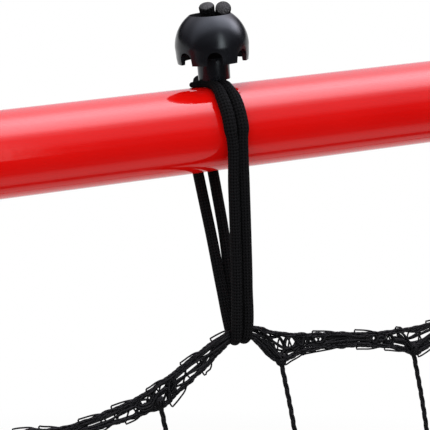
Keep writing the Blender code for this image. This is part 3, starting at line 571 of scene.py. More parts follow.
def twine(name, colour, roughness):
    """Twisted filament yarn: streaks that follow the thread."""
    yarn = Surface(name, colour, roughness, Specular_IOR_Level=0.12)
    along = yarn.add("UVMap", out="UV", settings={"uv_map": "along"})
    stretched = yarn.add("Mapping", Vector=along, Scale=(260.0, 9.0, 1.0))
    streaks = yarn.noise(stretched, 1.0, 3, 0.6)
    worn = yarn.noise(yarn.place, 400, 2)
    greys = [(0.3, shaded(colour, 0.55)), (0.72, shaded(colour, 2.0))]
    return yarn.finished(
        Base_Color=yarn.ramp(streaks, greys),
        Normal=yarn.bump(streaks, 0.00012, 0.7),
        Roughness=yarn.map_range(worn, 0.3, 0.7, roughness - 0.1, roughness + 0.12),
    )


def plated(name, colour, roughness, scratch):
    """Zinc plate: cloudy colour, fine scratches, a duller film in patches."""
    zinc = Surface(name, colour, roughness, Metallic=1.0)
    cloudy = zinc.noise(zinc.place, 45, 5, 0.65)
    film = zinc.noise(zinc.place, 220, 4, 0.7)
    stretched = zinc.add("Mapping", Vector=zinc.place, Scale=(40.0, 40.0, scratch))
    lines = zinc.noise(stretched, 40, 3, 0.7)
    greys = [(0.35, shaded(colour, 0.86, 0.92, 1.0)), (0.65, shaded(colour, 1.06, 1.0, 0.9))]
    return zinc.finished(
        Base_Color=zinc.ramp(cloudy, greys),
        Roughness=zinc.map_range(film, 0.3, 0.7, roughness - 0.08, roughness + 0.12),
        Normal=zinc.bump(lines, 0.00004, 0.35),
    )


# Mesh helpers

def new_piece(name, mesh, slot, body, replaced, place=None):
    """One shown piece that rides on a body. Its place goes into its mesh."""
    if place is not None:
        mesh.transform(place)
    mesh.name = name
    if not mesh.materials:
        mesh.materials.append(MATERIALS[slot])
    piece = added(name, mesh)
    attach(piece, body)
    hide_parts(replaced)


def smooth(mesh, degrees=35):
    mesh.shade_smooth()
    mesh.set_sharp_from_angle(angle=math.radians(degrees))
    return mesh


def from_shape(name, build, merged=0.0):
    """A mesh of what build does to a bmesh. Points nearer than merged become one."""
    shape = bmesh.new()
    build(shape)
    if merged:
        bmesh.ops.remove_doubles(shape, verts=shape.verts, dist=merged)
        bmesh.ops.recalc_face_normals(shape, faces=shape.faces)
    mesh = bpy.data.meshes.new(name)
    shape.to_mesh(mesh)
    shape.free()
    return mesh


def arc(centre, radius, start, end, steps):
    angles = np.linspace(start, end, steps + 1)
    return [(centre[0] + radius * math.cos(a), centre[1] + radius * math.sin(a)) for a in angles]


def circle(centre, radius, sides):
    return arc(centre, radius, 0, math.tau, sides)[:-1]


def dome(radius, base, rise, steps):
    """The profile of a dome from its top to its rim at height base."""
    angles = np.linspace(0, math.pi / 2, steps)
    return [(radius * math.sin(a), base + rise * math.cos(a)) for a in angles]


def flat_mesh(outline, thickness, holes=(), bevel=0.0, centre=0.0):
    """A flat outline in XY with thickness along Z and rounded edges."""
    curve = bpy.data.curves.new("outline", "CURVE")
    curve.dimensions = "2D"
    for loop in (outline, *holes):
        spline = curve.splines.new("POLY")
        spline.points.add(len(loop) - 1)
        for point, place in zip(spline.points, loop):
            point.co = (*place, 0.0, 1.0)
        spline.use_cyclic_u = True
    curve.fill_mode = "BOTH"
    curve.extrude = thickness / 2 - bevel
    curve.bevel_depth = bevel
    curve.bevel_resolution = 3 if bevel else 0
    curve.offset = -bevel
    filled = applied(added("outline", curve))
    mesh = from_shape("flat", lambda shape: shape.from_mesh(filled), 2e-6)
    mesh.transform(Matrix.Translation((0, 0, centre)))
    return smooth(mesh, 30)


def turned_mesh(profile, steps):
    """A profile of (radius, height) turned about Z. Points on the axis close it."""
    def spin(shape):
        points = [shape.verts.new((radius, 0, height)) for radius, height in profile]
        edges = [shape.edges.new(pair) for pair in zip(points, points[1:])]
        bmesh.ops.spin(
            shape, geom=points + edges, cent=(0, 0, 0), axis=(0, 0, 1), angle=math.tau,
            steps=steps, use_merge=True,
        )

    return smooth(from_shape("turned", spin, 1e-6))


def ring_quads(rings, sides, closed):
    """Faces between rings of points, with the ring and side that each starts at."""
    i, j = np.meshgrid(np.arange(rings if closed else rings - 1), np.arange(sides), indexing="ij")
    after, beside = (i + 1) % rings, (j + 1) % sides
    quads = [i * sides + j, i * sides + beside, after * sides + beside, after * sides + j]
    return np.stack(quads, axis=-1).reshape(-1, 4), i, j


def ring_mesh(points, closed, degrees):
    """A smooth skin over rings of points."""
    rings, sides = points.shape[:2]
    raw = bpy.data.meshes.new("raw")
    raw.from_pydata(points.reshape(-1, 3), [], ring_quads(rings, sides, closed)[0].tolist())
    return smooth(from_shape("rings", lambda shape: shape.from_mesh(raw), 1e-6), degrees)


def applied(piece):
    """The piece's mesh with its modifiers in it. The piece itself is removed."""
    bpy.context.view_layer.update()
    graph = bpy.context.evaluated_depsgraph_get()
    mesh = bpy.data.meshes.new_from_object(piece.evaluated_get(graph))
    bpy.data.objects.remove(piece, do_unlink=True)
    return mesh


def cut(mesh, cutters, operation="DIFFERENCE"):
    """The mesh with cutters taken from it, or joined to it."""
    piece = added("cut", mesh)
    others = [added("cutter", cutter) for cutter in cutters]
    for other in others:
        modifier = piece.modifiers.new("cut", "BOOLEAN")
        modifier.operation = operation
        modifier.solver = "EXACT"
        modifier.object = other
    made = applied(piece)
    for other in others:
        bpy.data.objects.remove(other, do_unlink=True)
    return made


def bevelled(mesh, width, segments, degrees):
    """The mesh with its sharp edges rounded."""
    piece = added("bevelled", mesh)
    piece.modifiers.new("weld", "WELD").merge_threshold = 2e-5
    bevel = piece.modifiers.new("bevel", "BEVEL")
    bevel.width = width
    bevel.segments = segments
    bevel.limit_method = "ANGLE"
    bevel.angle_limit = math.radians(degrees)
    return smooth(applied(piece), 30)


def unit(rows):
    return rows / np.linalg.norm(rows, axis=1)[:, None]


def run_along(path):
    """How far along a path each of its points is."""
    return np.concatenate([[0], np.cumsum(np.linalg.norm(np.diff(path, axis=0), axis=1))])


def ring_frames(path, up=None):
    """Across and upright directions along a path, without twist."""
    way = unit(np.gradient(path, axis=0))
    if up is not None:
        across = unit(np.cross(way, np.asarray(up, float)))
        return across, np.cross(across, way)
    across = np.empty_like(way)
    carried = np.cross(way[0], (0.31, 0.87, 0.38))
    across[0] = carried / np.linalg.norm(carried)
    for i in range(1, len(path)):
        carried = across[i - 1] - way[i] * (across[i - 1] @ way[i])
        across[i] = carried / np.linalg.norm(carried)
    return across, np.cross(across, way)


def spokes(across, upright, sides):
    """Directions round each point of a path."""
    angles = np.linspace(0, math.tau, sides, endpoint=False)[None, :, None]
    return across[:, None] * np.cos(angles) + upright[:, None] * np.sin(angles)


class Strands:
    """Round strands swept along paths, gathered into one mesh with a map along them."""

    def __init__(self):
        self.points = []
        self.faces = []
        self.maps = []
        self.kinds = []
        self.count = 0

    def add(self, path, radius, sides=6, up=None, closed=False, end_kind=0):
        """Radius is one number, or one for each point. A closed path has no end caps."""
        path = np.asarray(path, float)
        number = len(path)
        radii = np.broadcast_to(np.asarray(radius, float), (number,))[:, None, None]
        rings = path[:, None] + spokes(*ring_frames(path, up), sides) * radii
        along = run_along(path)
        start = self.count
        self.points.append(rings.reshape(-1, 3))
        self.count += number * sides
        quads, i, j = ring_quads(number, sides, closed)
        self.faces.extend((quads + start).tolist())
        self.kinds.extend([0] * len(quads))
        reach = np.concatenate([along, [along[-1] + along[1]]])
        low, high = reach[i], reach[i + 1]
        left, right = j / sides, (j + 1) / sides
        corners = np.stack([low, left, low, right, high, right, high, left], axis=-1)
        self.maps.append(corners.reshape(-1, 2))
        if not closed:
            first, last = (range(base, base + sides) for base in (start, self.count - sides))
            for loop, level in ((first[::-1], 0), (last, along[-1])):
                self.faces.append(list(loop))
                self.kinds.append(end_kind)
                self.maps.append(np.tile((level, 0.5), (sides, 1)))

    def mesh(self):
        mesh = bpy.data.meshes.new("strands")
        mesh.from_pydata(np.concatenate(self.points), [], self.faces)
        layer = mesh.uv_layers.new(name="along")
        layer.data.foreach_set("uv", np.concatenate(self.maps).astype(np.float32).ravel())
        mesh.polygons.foreach_set("material_index", np.array(self.kinds, np.int32))
        mesh.shade_smooth()
        return mesh


def smooth_path(points, step, values=None):
    """A smooth curve through the points, at even steps, and values carried along it."""
    points = np.asarray(points, float)
    knots = run_along(points)
    gaps = np.diff(knots)
    between = np.diff(points, axis=0) / gaps[:, None]
    weight = (gaps[1:] / (gaps[1:] + gaps[:-1]))[:, None]
    inner = between[:-1] * weight + between[1:] * (1 - weight)
    slopes = np.concatenate([between[:1], inner, between[-1:]])
    number = max(int(knots[-1] / step), 2)
    t = np.linspace(0, knots[-1], number + 1)
    k = np.clip(np.searchsorted(knots, t, side="right") - 1, 0, len(gaps) - 1)
    h = gaps[k][:, None]
    s = (t - knots[k])[:, None] / h
    made = (2 * s**3 - 3 * s**2 + 1) * points[k] + (s**3 - 2 * s**2 + s) * h * slopes[k]
    made += (3 * s**2 - 2 * s**3) * points[k + 1] + (s**3 - s**2) * h * slopes[k + 1]
    return made if values is None else (made, np.interp(t, knots, values))


def placed(points, matrix=NET_MIDDLE):
    """Points in a local frame as world points."""
    matrix = np.array(matrix)
    return np.asarray(points, float) @ matrix[:3, :3].T + matrix[:3, 3]


# Frame tubes

def u_path(end, far, spare=()):
    """The centre line of a U tube in XZ: down one post, across at far, up the other."""
    way = 1 if far > end else -1
    inner = HALF_WIDTH - CORNER_RADIUS
    post = [(-HALF_WIDTH, z) for z in (end, *spare)]
    bend = (-inner, far - way * CORNER_RADIUS)
    half = post + arc(bend, CORNER_RADIUS, math.pi, math.pi - way * math.pi / 2, 20)
    return half + [(-x, z) for x, z in reversed(half)]


def tube_mesh(path, radii):
    """A bent tube with a wall and rounded lips at its open ends."""
    route = np.array([(x, 0, z) for x, z in path])
    across = np.cross(unit(np.gradient(route, axis=0)), (0, 1, 0))
    lip = TUBE_WALL / 2
    inside = [radius - TUBE_WALL for radius in radii]
    reach = np.array([radii[0] - lip, *radii, radii[-1] - lip, *inside[::-1]])
    out_and_back = [0, *range(len(route)), -1, *range(len(route))[::-1]]
    upright = np.broadcast_to((0.0, 1.0, 0.0), across.shape)
    skin = spokes(across[out_and_back], upright[[0] * len(out_and_back)], TUBE_SIDES)
    return ring_mesh(route[out_and_back][:, None] + skin * reach[:, None, None], True, 50)


def button_cutter(side):
    depth = BUTTON_HOLE_DEPTH
    mesh = turned_mesh([(0, 0), (BUTTON_HOLE, 0), (BUTTON_HOLE, depth), (0, depth)], 32)
    at = Matrix.Translation((side * HALF_WIDTH, 0, JOINT_HEIGHT + BUTTON_HEIGHT))
    mesh.transform(at @ Matrix.Rotation(side * math.pi / 2, 4, "Y"))
    return mesh


def make_tubes():
    swage_top = JOINT_HEIGHT - CLEARANCE
    upper = u_path(JOINT_HEIGHT, TOP_HEIGHT)
    lower = u_path(JOINT_HEIGHT + SPIGOT_LENGTH, 0, (swage_top, swage_top - SWAGE_LENGTH))
    leg = u_path(LEG_OVERHANG, -LEG_LENGTH)
    for name, path, body, node, parent in (
        ("upper_tube", upper, "net_frame", "upper_frame_tube", NET_PLANE),
        ("lower_tube", lower, "net_frame", "lower_frame_tube", NET_PLANE),
        ("rear_leg", leg, "rear_leg", "rear_leg_tube", LEG_PIVOT),
    ):
        swaged = path is lower
        radii = [SPIGOT_RADIUS if swaged and z >= swage_top else TUBE_RADIUS for _, z in path]
        mesh = tube_mesh(path, radii)
        if path is not leg:
            mesh = smooth(cut(mesh, [button_cutter(side) for side, _ in BOTH]), 50)
        new_piece(name, mesh, "red_powder_coat", body, node, parent)


# Snap buttons, caps, bolts, brackets, knobs and feet

def button_mesh():
    tip = TUBE_RADIUS + BUTTON_PROUD
    seat = tip - BUTTON_PROUD - TUBE_WALL - BUTTON_DOME
    profile = dome(BUTTON_RADIUS, tip - BUTTON_DOME, BUTTON_DOME, 10)
    return turned_mesh(profile + [(BUTTON_RADIUS, seat), (0, seat)], 40)


def cap_mesh():
    stem = TUBE_RADIUS - CAP_WALL
    rim = [(TUBE_RADIUS, 0.0004), (TUBE_RADIUS - 0.0006, CLEARANCE), (stem, CLEARANCE),
           (stem, -CAP_DEPTH), (0, -CAP_DEPTH)]
    return turned_mesh(dome(TUBE_RADIUS, CAP_EDGE, CAP_DOME - CAP_EDGE, 14) + rim, 64)


def hex_mesh(height, bore=0.0):
    """A hexagon head or nut whose corners are turned down at its top."""
    hexagon = flat_mesh(circle((0, 0), BOLT_HEAD_RADIUS, 6), height, centre=height / 2)
    beyond, above = 1.05 * BOLT_HEAD_RADIUS, height + 0.5 * HEX_CHAMFER
    cone = [(0, -0.001), (beyond, -0.001), (beyond, height - HEX_CHAMFER),
            (HEX_FLAT * BOLT_HEAD_RADIUS, above), (0, above)]
    mesh = cut(hexagon, [turned_mesh(cone, 48)], "INTERSECT")
    if bore:
        through = [(0, -0.002), (bore, -0.002), (bore, height + 0.002), (0, height + 0.002)]
        mesh = cut(mesh, [turned_mesh(through, 32)])
    return bevelled(mesh, HEX_BEVEL, 2, 35)


def joined(shells):
    """Closed shells that overlap, as one mesh."""
    def gather(shape):
        for shell in shells:
            shape.from_mesh(shell)

    return smooth(from_shape("joined", gather), 30)


def nut_mesh():
    """The pivot's nut and the plain end that stands out of it, from its underside up."""
    bore, top = BOLT_RADIUS + BORE_PLAY, NUT_HEIGHT + END_OUT
    start = NUT_HEIGHT - CLEARANCE
    edge = arc((bore - END_EDGE, top - END_EDGE), END_EDGE, 0, math.pi / 2, 2)
    end = turned_mesh([(0, start), (bore, start), *edge, (0, top)], 32)
    return joined([hex_mesh(NUT_HEIGHT, bore), end])


def bolt_mesh(length, thread, riveted=False):
    """A bolt along Z as overlapping shells. Its washer face's underside is at zero."""
    head = hex_mesh(BOLT_HEAD - HEAD_SUNK)
    head.transform(Matrix.Translation((0, 0, HEAD_SUNK)))
    face = BOLT_HEAD_RADIUS * 0.98
    washer = [(0, 0), (face, 0), (BOLT_HEAD_RADIUS * 1.02, WASHER_FACE / 2),
              (face, WASHER_FACE), (0, WASHER_FACE)]
    shank = [(0, 0.001), (BOLT_RADIUS, 0.001), (BOLT_RADIUS, thread - length)]
    for i in range(int((thread - 0.0008) / THREAD_PITCH)):
        z = thread - length - i * THREAD_PITCH
        shank += [(BOLT_RADIUS, z - 0.25 * THREAD_PITCH),
                  (BOLT_RADIUS - THREAD_DEPTH, z - 0.5 * THREAD_PITCH),
                  (BOLT_RADIUS, z - 0.95 * THREAD_PITCH)]
    shank += [(BOLT_RADIUS - POINT_TAPER, -length), (0, -length)]
    shells = [head, turned_mesh(washer, 48), turned_mesh(shank, 32)]
    if riveted:
        start = BOLT_RADIUS - 0.0002 - length
        rounded = dome(RIVET_RADIUS, RIVET_HEIGHT - length, -RIVET_HEIGHT, 8)
        shells.append(turned_mesh([(0, start), (0.0064, start), *rounded[::-1]], 48))
    return joined(shells)


def rounded_outline(corners, radius, steps):
    """The outline a disc's edge draws round a convex loop of corners, anticlockwise."""
    points = []
    for i, corner in enumerate(corners):
        before = Vector(corner) - Vector(corners[i - 1])
        after = Vector(corners[(i + 1) % len(corners)]) - Vector(corner)
        start = math.atan2(-before.x, before.y)
        points += arc(corner, radius, start, start - before.angle_signed(after), steps)
    return points


def bracket_mesh():
    """Two cheeks with rolled edges and a pressed web between them, X back and Y up."""
    post = -PIVOT_BACK
    front = post - BRACKET_FRONT
    slot_end = (CLAMP_DROP * math.sin(FOLD_ANGLE), -CLAMP_DROP * math.cos(FOLD_ANGLE))
    outline = rounded_outline([
        (front, -BRACKET_BELOW), (0, -BRACKET_BELOW), slot_end, (BRACKET_ABOVE, BRACKET_ABOVE),
        (front, BRACKET_ABOVE),
    ], BRACKET_EDGE, 10)
    hole = BOLT_RADIUS + 0.0004
    down = -math.pi / 2
    opened = down + FOLD_ANGLE
    slot = arc((0, 0), CLAMP_DROP + hole, down, opened, 16)
    slot += arc(slot_end, hole, opened, opened + math.pi, 10)[1:-1]
    slot += arc((0, 0), CLAMP_DROP - hole, opened, down, 16)
    slot += arc((0, -CLAMP_DROP), hole, down + math.pi, down + math.tau, 10)[1:-1]
    holes = [slot, circle((0, 0), hole, 32), circle((post, -FRAME_BOLT_DROP), hole, 32)]
    middle = HALF_INSIDE + PLATE / 2
    cheeks = [flat_mesh(outline, PLATE, holes, 0.0005, side * middle) for side, _ in BOTH]
    back = post + HALF_INSIDE
    web = flat_mesh([
        (back, -WEB_BOTTOM), (back + PLATE, -WEB_BOTTOM), (back + PLATE, WEB_TOP), (back, WEB_TOP),
    ], 2 * HALF_INSIDE + PLATE, bevel=0.0004)
    return smooth(cut(web, cheeks, "UNION"), 30)


def knob_mesh():
    """A lobed grip with a domed face, a sunk middle and a hub towards -Z."""
    angles = np.linspace(0, math.tau, 160, endpoint=False)
    lobe = (1 - np.cos(KNOB_LOBES * angles)) / 2
    top = HUB_HEIGHT + KNOB_THICKNESS
    # Each ring is (share of the full reach, how much of the lobes it has, height)
    rings = [
        (0.0, 0.0, 0.0), (0.42, 0.0, 0.0), (0.45, 0.0, 0.0006), (0.45, 0.0, HUB_HEIGHT - 0.0008),
        (0.50, 0.1, HUB_HEIGHT), (0.88, 0.9, HUB_HEIGHT), (0.955, 1.0, HUB_HEIGHT + 0.0005),
        (0.99, 1.0, HUB_HEIGHT + 0.0016), (1.0, 1.0, HUB_HEIGHT + 0.0035), (1.0, 1.0, top - 0.0042),
        (0.985, 1.0, top - 0.0024), (0.945, 1.0, top - 0.0010), (0.87, 0.9, top - 0.0002),
        (0.72, 0.6, top), (0.52, 0.1, top - 0.0002), (0.485, 0.0, top - 0.0008),
        (0.47, 0.0, top - 0.0020), (0.30, 0.0, top - 0.0022), (0.0, 0.0, top - 0.0018),
    ]
    share, lobed, z = np.array(rings).T[:, :, None]
    reach = KNOB_RADIUS * share - KNOB_LOBE_DEPTH * lobe * lobed
    height = np.broadcast_to(z, reach.shape)
    points = np.stack([reach * np.cos(angles), reach * np.sin(angles), height], axis=-1)
    return ring_mesh(points, False, 45)


def foot_mesh():
    """A clip round the rail with a ribbed sole. Its own X is across the rail, Y is up."""
    inner = TUBE_RADIUS + CLEARANCE / 2
    outer = TUBE_RADIUS + CLEARANCE + FOOT_WALL
    above = FOOT_CLIP_ABOVE
    lip = (inner + outer) / 2
    lip_radius = (outer - inner) / 2
    outline = arc((0, 0), inner, above, -math.pi - above, 48)
    left_lip = (lip * math.cos(math.pi - above), lip * math.sin(math.pi - above))
    outline += arc(left_lip, lip_radius, -above, math.pi - above, 8)[1:-1]
    floor = -TUBE_RADIUS - FOOT_SOLE
    shoulder = floor + 0.6 * FOOT_SOLE
    half = arc((0, 0), outer, math.pi - above, math.pi + math.radians(35), 10)
    half += arc((0.002 - FOOT_HALF_WIDTH, shoulder - 0.002), 0.002, math.pi / 2, math.pi, 5)
    half += arc((0.0015 - FOOT_HALF_WIDTH, floor + 0.0015), 0.0015, math.pi, 1.5 * math.pi, 4)
    for x in np.arange(FIRST_GROOVE, 0, GROOVE_STEP):
        half += [(x - 0.0011, floor), (x - 0.0007, floor + GROOVE_DEPTH),
                 (x + 0.0007, floor + GROOVE_DEPTH), (x + 0.0011, floor)]
    outline += half + [(-x, y) for x, y in reversed(half)]
    right_lip = (lip * math.cos(above), lip * math.sin(above))
    outline += arc(right_lip, lip_radius, above, math.pi + above, 8)[1:-1]
    return flat_mesh(outline, FOOT_LENGTH, bevel=0.0009)


def make_fittings():
    """Each fitting is made once and placed left and right, group by group.

    A row is piece, mesh, slot, body, node, parent, place out from the post, back and up, and how
    it faces: 1 is out from the net, -1 is in, and a matrix turns both sides alike.
    """
    seat = HALF_OUTSIDE + CLEARANCE
    through = 2 * HALF_OUTSIDE + CLEARANCE
    into_knob = through + CLEARANCE + HUB_HEIGHT + 0.8 * KNOB_THICKNESS
    back_up = Matrix.Rotation(math.pi / 2, 4, "Z") @ Matrix.Rotation(math.pi / 2, 4, "X")
    front_turn, rear_turn = (Matrix.Rotation(a, 4, "X") @ back_up for a in (NET_LEAN, -LEG_LEAN))
    frame_side = ("net_frame", NET_PLANE)
    leg_side = ("rear_leg", LEG_PIVOT)
    for group in (
        [("snap_button", button_mesh(), "zinc_bolt", "frame_button_{}",
          ("frame_button_{}", NET_PLANE), (0, 0, JOINT_HEIGHT + BUTTON_HEIGHT), 1)],
        [("cap", cap_mesh(), "black_plastic", "leg_cap_{}",
          leg_side, (0, 0, LEG_OVERHANG), Matrix())],
        [
            ("bracket", bracket_mesh(), "zinc_plate", "hinge_bracket_{}", frame_side,
             (0, PIVOT_BACK, PIVOT_HEIGHT), back_up),
            ("hinge_bolt", bolt_mesh(through + NUT_HEIGHT, HINGE_THREAD), "zinc_bolt",
             "pivot_bolt_{}", frame_side, (seat, PIVOT_BACK, PIVOT_HEIGHT), 1),
            ("hinge_nut", nut_mesh(), "zinc_bolt", "pivot_nut_{}",
             frame_side, (-seat, PIVOT_BACK, PIVOT_HEIGHT), -1),
            ("post_bolt", bolt_mesh(through + BOLT_RADIUS, POST_THREAD, riveted=True), "zinc_bolt",
             "bracket_bolt_{}", frame_side, (seat, 0, PIVOT_HEIGHT - FRAME_BOLT_DROP), 1),
            ("slot_bolt", bolt_mesh(into_knob, SLOT_THREAD), "zinc_bolt", "clamp_bolt_{}",
             leg_side, (-seat, 0, -CLAMP_DROP), -1),
            ("knob", knob_mesh(), "black_plastic", "clamp_knob_{}", ("clamp_knob_{}", LEG_PIVOT),
             (seat, 0, -CLAMP_DROP), 1),
        ],
        [("front_shoe", foot_mesh(), "black_rubber", "front_foot_{}", frame_side,
          (-FRONT_FOOT_INSET, 0, 0), front_turn)],
        [("rear_shoe", foot_mesh(), "black_rubber", "rear_foot_{}", leg_side,
          (-REAR_FOOT_INSET, 0, -LEG_LENGTH), rear_turn)],
    ):
        for side, name in BOTH:
            for piece, mesh, slot, node, (body, parent), (out, back, up), facing in group:
                at = Matrix.Translation((side * HALF_WIDTH + side * out, back, up))
                if not isinstance(facing, Matrix):
                    facing = Matrix.Rotation(side * facing * math.pi / 2, 4, "Y")
                new_piece(f"{piece}_{name}", mesh.copy(), slot, body.format(name),
                          node.format(name), parent @ at @ facing)


def make_springs():
    """Each V spring is the model's spring mesh with its edges rounded, in spring steel, baked in
    place.
    """
    for side, name in BOTH:
        node = f"button_spring_{name}"
        mesh = bevelled(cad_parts[node].data.copy(), 0.0001, 1, 50)
        mesh.materials.clear()
        mesh.materials.append(MATERIALS["spring_steel"])
        piece = added(f"v_spring_{name}", mesh)
        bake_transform(piece)
        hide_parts(node)


# Net border

def turned(angle, s, out):
    """A place given along and out from a side, in the net plane's own X and Z."""
    cosine, sine = math.cos(angle), math.sin(angle)
    return (s * cosine + out * sine, out * cosine - s * sine)


def side_shape(name):
    """A side's turn, its tube's distance from the middle, half its length and its border's line."""
    turn, cells, sags = SIDES[name]
    ties = [cell * MESH for cell in cells]
    across, along = HALF_WIDTH, MIDDLE_HEIGHT
    if turn % 180 == 0:
        across, along = along, across
    half = along - CORNER_PULL
    tie_out, corner_out = across - TIE_REACH, across - CORNER_PULL

    def out(s):
        for first, second, sag in zip(ties, ties[1:], sags):
            if first <= s <= second:
                part = math.sin(math.pi * (s - first) / (second - first))
                return tie_out - sag * max(part, 0) ** SAG_POWER
        nearest = ties[0] if s < ties[0] else ties[-1]
        part = min(abs(s - nearest) / (half - abs(nearest)), 1)
        return tie_out - (tie_out - corner_out) * math.sin(math.pi / 2 * part) ** SAG_POWER

    return math.radians(turn), across, half, out


def net_lines(across):
    """Where strands lie from the net's middle in one direction."""
    deepest = max(max(sags) for _, _, sags in SIDES.values())
    count = int((across - TIE_REACH - deepest) / MESH)
    return [i * MESH for i in range(-count, count + 1)]


def border_rails():
    """Outer and inner rail of the border as closed loops in the net plane, evenly stepped."""
    rails = [], []
    for name in ("top", "right", "bottom", "left"):
        angle, across, half, out = side_shape(name)
        s = np.linspace(-half, half, round(2 * half / BORDER_STEP), endpoint=False)
        middle = np.array([out(station) for station in s])
        from_strand = [(s - line) / PULL_REACH for line in net_lines(half + CORNER_PULL)]
        pull = PULL * np.exp(-np.min(np.square(from_strand), axis=0))
        edges = middle + BORDER_HALF + 0.0004 * np.sin(s / 0.0061), middle - BORDER_HALF - pull
        for rail, edge, measured in zip(rails, edges, (HERO_OUTER, HERO_INNER)):
            if name == HERO_SIDE:
                u = (s - HERO_STATION) / MM
                weight = eased(np.clip((HERO_REACH - np.abs(s - HERO_STATION)) / HERO_BLEND, 0, 1))
                edge = edge * (1 - weight) + (np.interp(u, *zip(*measured)) * MM + across) * weight
            rail += [turned(angle, *place) for place in zip(s, edge)]
    return [rounded_loop(np.array(rail)) for rail in rails]


def rounded_loop(loop):
    """A closed loop with its corners eased, and its sharp turns most."""
    for _ in range(3):
        loop = (np.roll(loop, 1, 0) + 2 * loop + np.roll(loop, -1, 0)) / 4
    for _ in range(60):
        one, two = loop - np.roll(loop, 6, 0), np.roll(loop, -6, 0) - loop
        cosine = np.sum(one * two, 1) / np.linalg.norm(one, axis=1) / np.linalg.norm(two, axis=1)
        sharp = np.clip((0.75 - cosine) * 4, 0, 1)[:, None]
        loop = loop * (1 - sharp) + (np.roll(loop, 1, 0) + np.roll(loop, -1, 0)) / 2 * sharp
    return loop


def eased(share):
    return share * share * (3 - 2 * share)


def slow_noise(number, length, seed):
    """Smooth closed noise between -1 and 1, with features about length steps long."""
    count = max(int(number / length), 4)
    knots = np.random.default_rng(seed).uniform(-1, 1, count)
    knots = np.append(knots, knots[0])
    t = np.linspace(0, count, number, endpoint=False)
    k = t.astype(int)
    s = eased(t - k)
    return knots[k] * (1 - s) + knots[k + 1] * s


class Border:
    """The border's two rails and ways to lay threads along them."""

    def __init__(self):
        self.outer, self.inner = border_rails()
        self.number = len(self.outer)
        middle = (self.outer + self.inner) / 2
        step = np.linalg.norm(np.roll(middle, -1, 0) - middle, axis=1)
        self.t = np.concatenate([[0], np.cumsum(step)[:-1]])
        self.length = step.sum()
        way = unit(np.roll(middle, -1, 0) - np.roll(middle, 1, 0))
        self.normal = np.stack([-way[:, 1], way[:, 0]], axis=1)
        away = np.hypot(self.outer[:, 0] - HERO_STATION, self.outer[:, 1] - MIDDLE_HEIGHT)
        self.kept = np.flatnonzero((away < HERO_NEAR) | (np.arange(self.number) % 2 == 0))
        self.on_top = self.outer[:, 1] > 0.7 * MIDDLE_HEIGHT

    def place_on_top(self, x):
        """How far round the border the point above x on the top side is."""
        nearest = np.argmin(np.abs(self.outer[self.on_top, 0] - x))
        return self.t[np.flatnonzero(self.on_top)[nearest]]

    def noise(self, length, seed):
        return slow_noise(self.number, length, seed)

    def waves(self, length, phase=0.0):
        """An angle that turns once for about each length of border, and closes."""
        turns = round(self.length / length)
        return math.tau * turns * self.t / self.length + phase

    def opened(self, share, beside):
        """The thread's share across, moved beside the holes where the border is open."""
        u = (self.outer[:, 0] - HERO_STATION) / MM
        for middle, half in HERO_WINDOWS:
            window = self.on_top * np.exp(-(((u - middle) / half) ** 4))
            share = share * (1 - window) + beside * window
        return share

    def laid(self, share, rise, proud, at=slice(None)):
        """Points at a share of the way from inner to outer rail, plus an offset, in 3D."""
        share, rise = (np.asarray(value)[..., None] for value in (share, rise))
        flat = self.inner[at] * (1 - share) + self.outer[at] * share + self.normal[at] * rise
        return np.stack([flat[:, 0], np.broadcast_to(proud, len(flat)), flat[:, 1]], axis=1)

    def add_thread(self, strands, share, rise, proud, radius, sides=5):
        """A thread all the way round."""
        path = placed(self.laid(share, rise, proud)[self.kept])
        radius = np.broadcast_to(radius, self.number)[self.kept]
        strands.add(path, radius, sides, up=NET_OUT, closed=True)

    def add_edge_loop(self, strands, rail, start, reach, high, back=False):
        """A thin thread that leaves a rail with a sharp corner and runs back into it."""
        stations = np.array([-0.0004, 0.0, 0.0002, 0.0009, *(np.array(LOOP_SHARES) * reach)])
        if back:
            stations = reach - stations
        places = (stations + start) % self.length
        at = np.round(np.interp(places, self.t, np.arange(self.number))).astype(int) % self.number
        rise = (1 if rail else -1) * high * np.array(LOOP_RISES)
        points = self.laid(rail, rise, random.uniform(-DEPTH_JITTER, DEPTH_JITTER), at)
        strands.add(placed(smooth_path(points, 0.0006)), EDGE_THREAD, 5, up=NET_OUT)


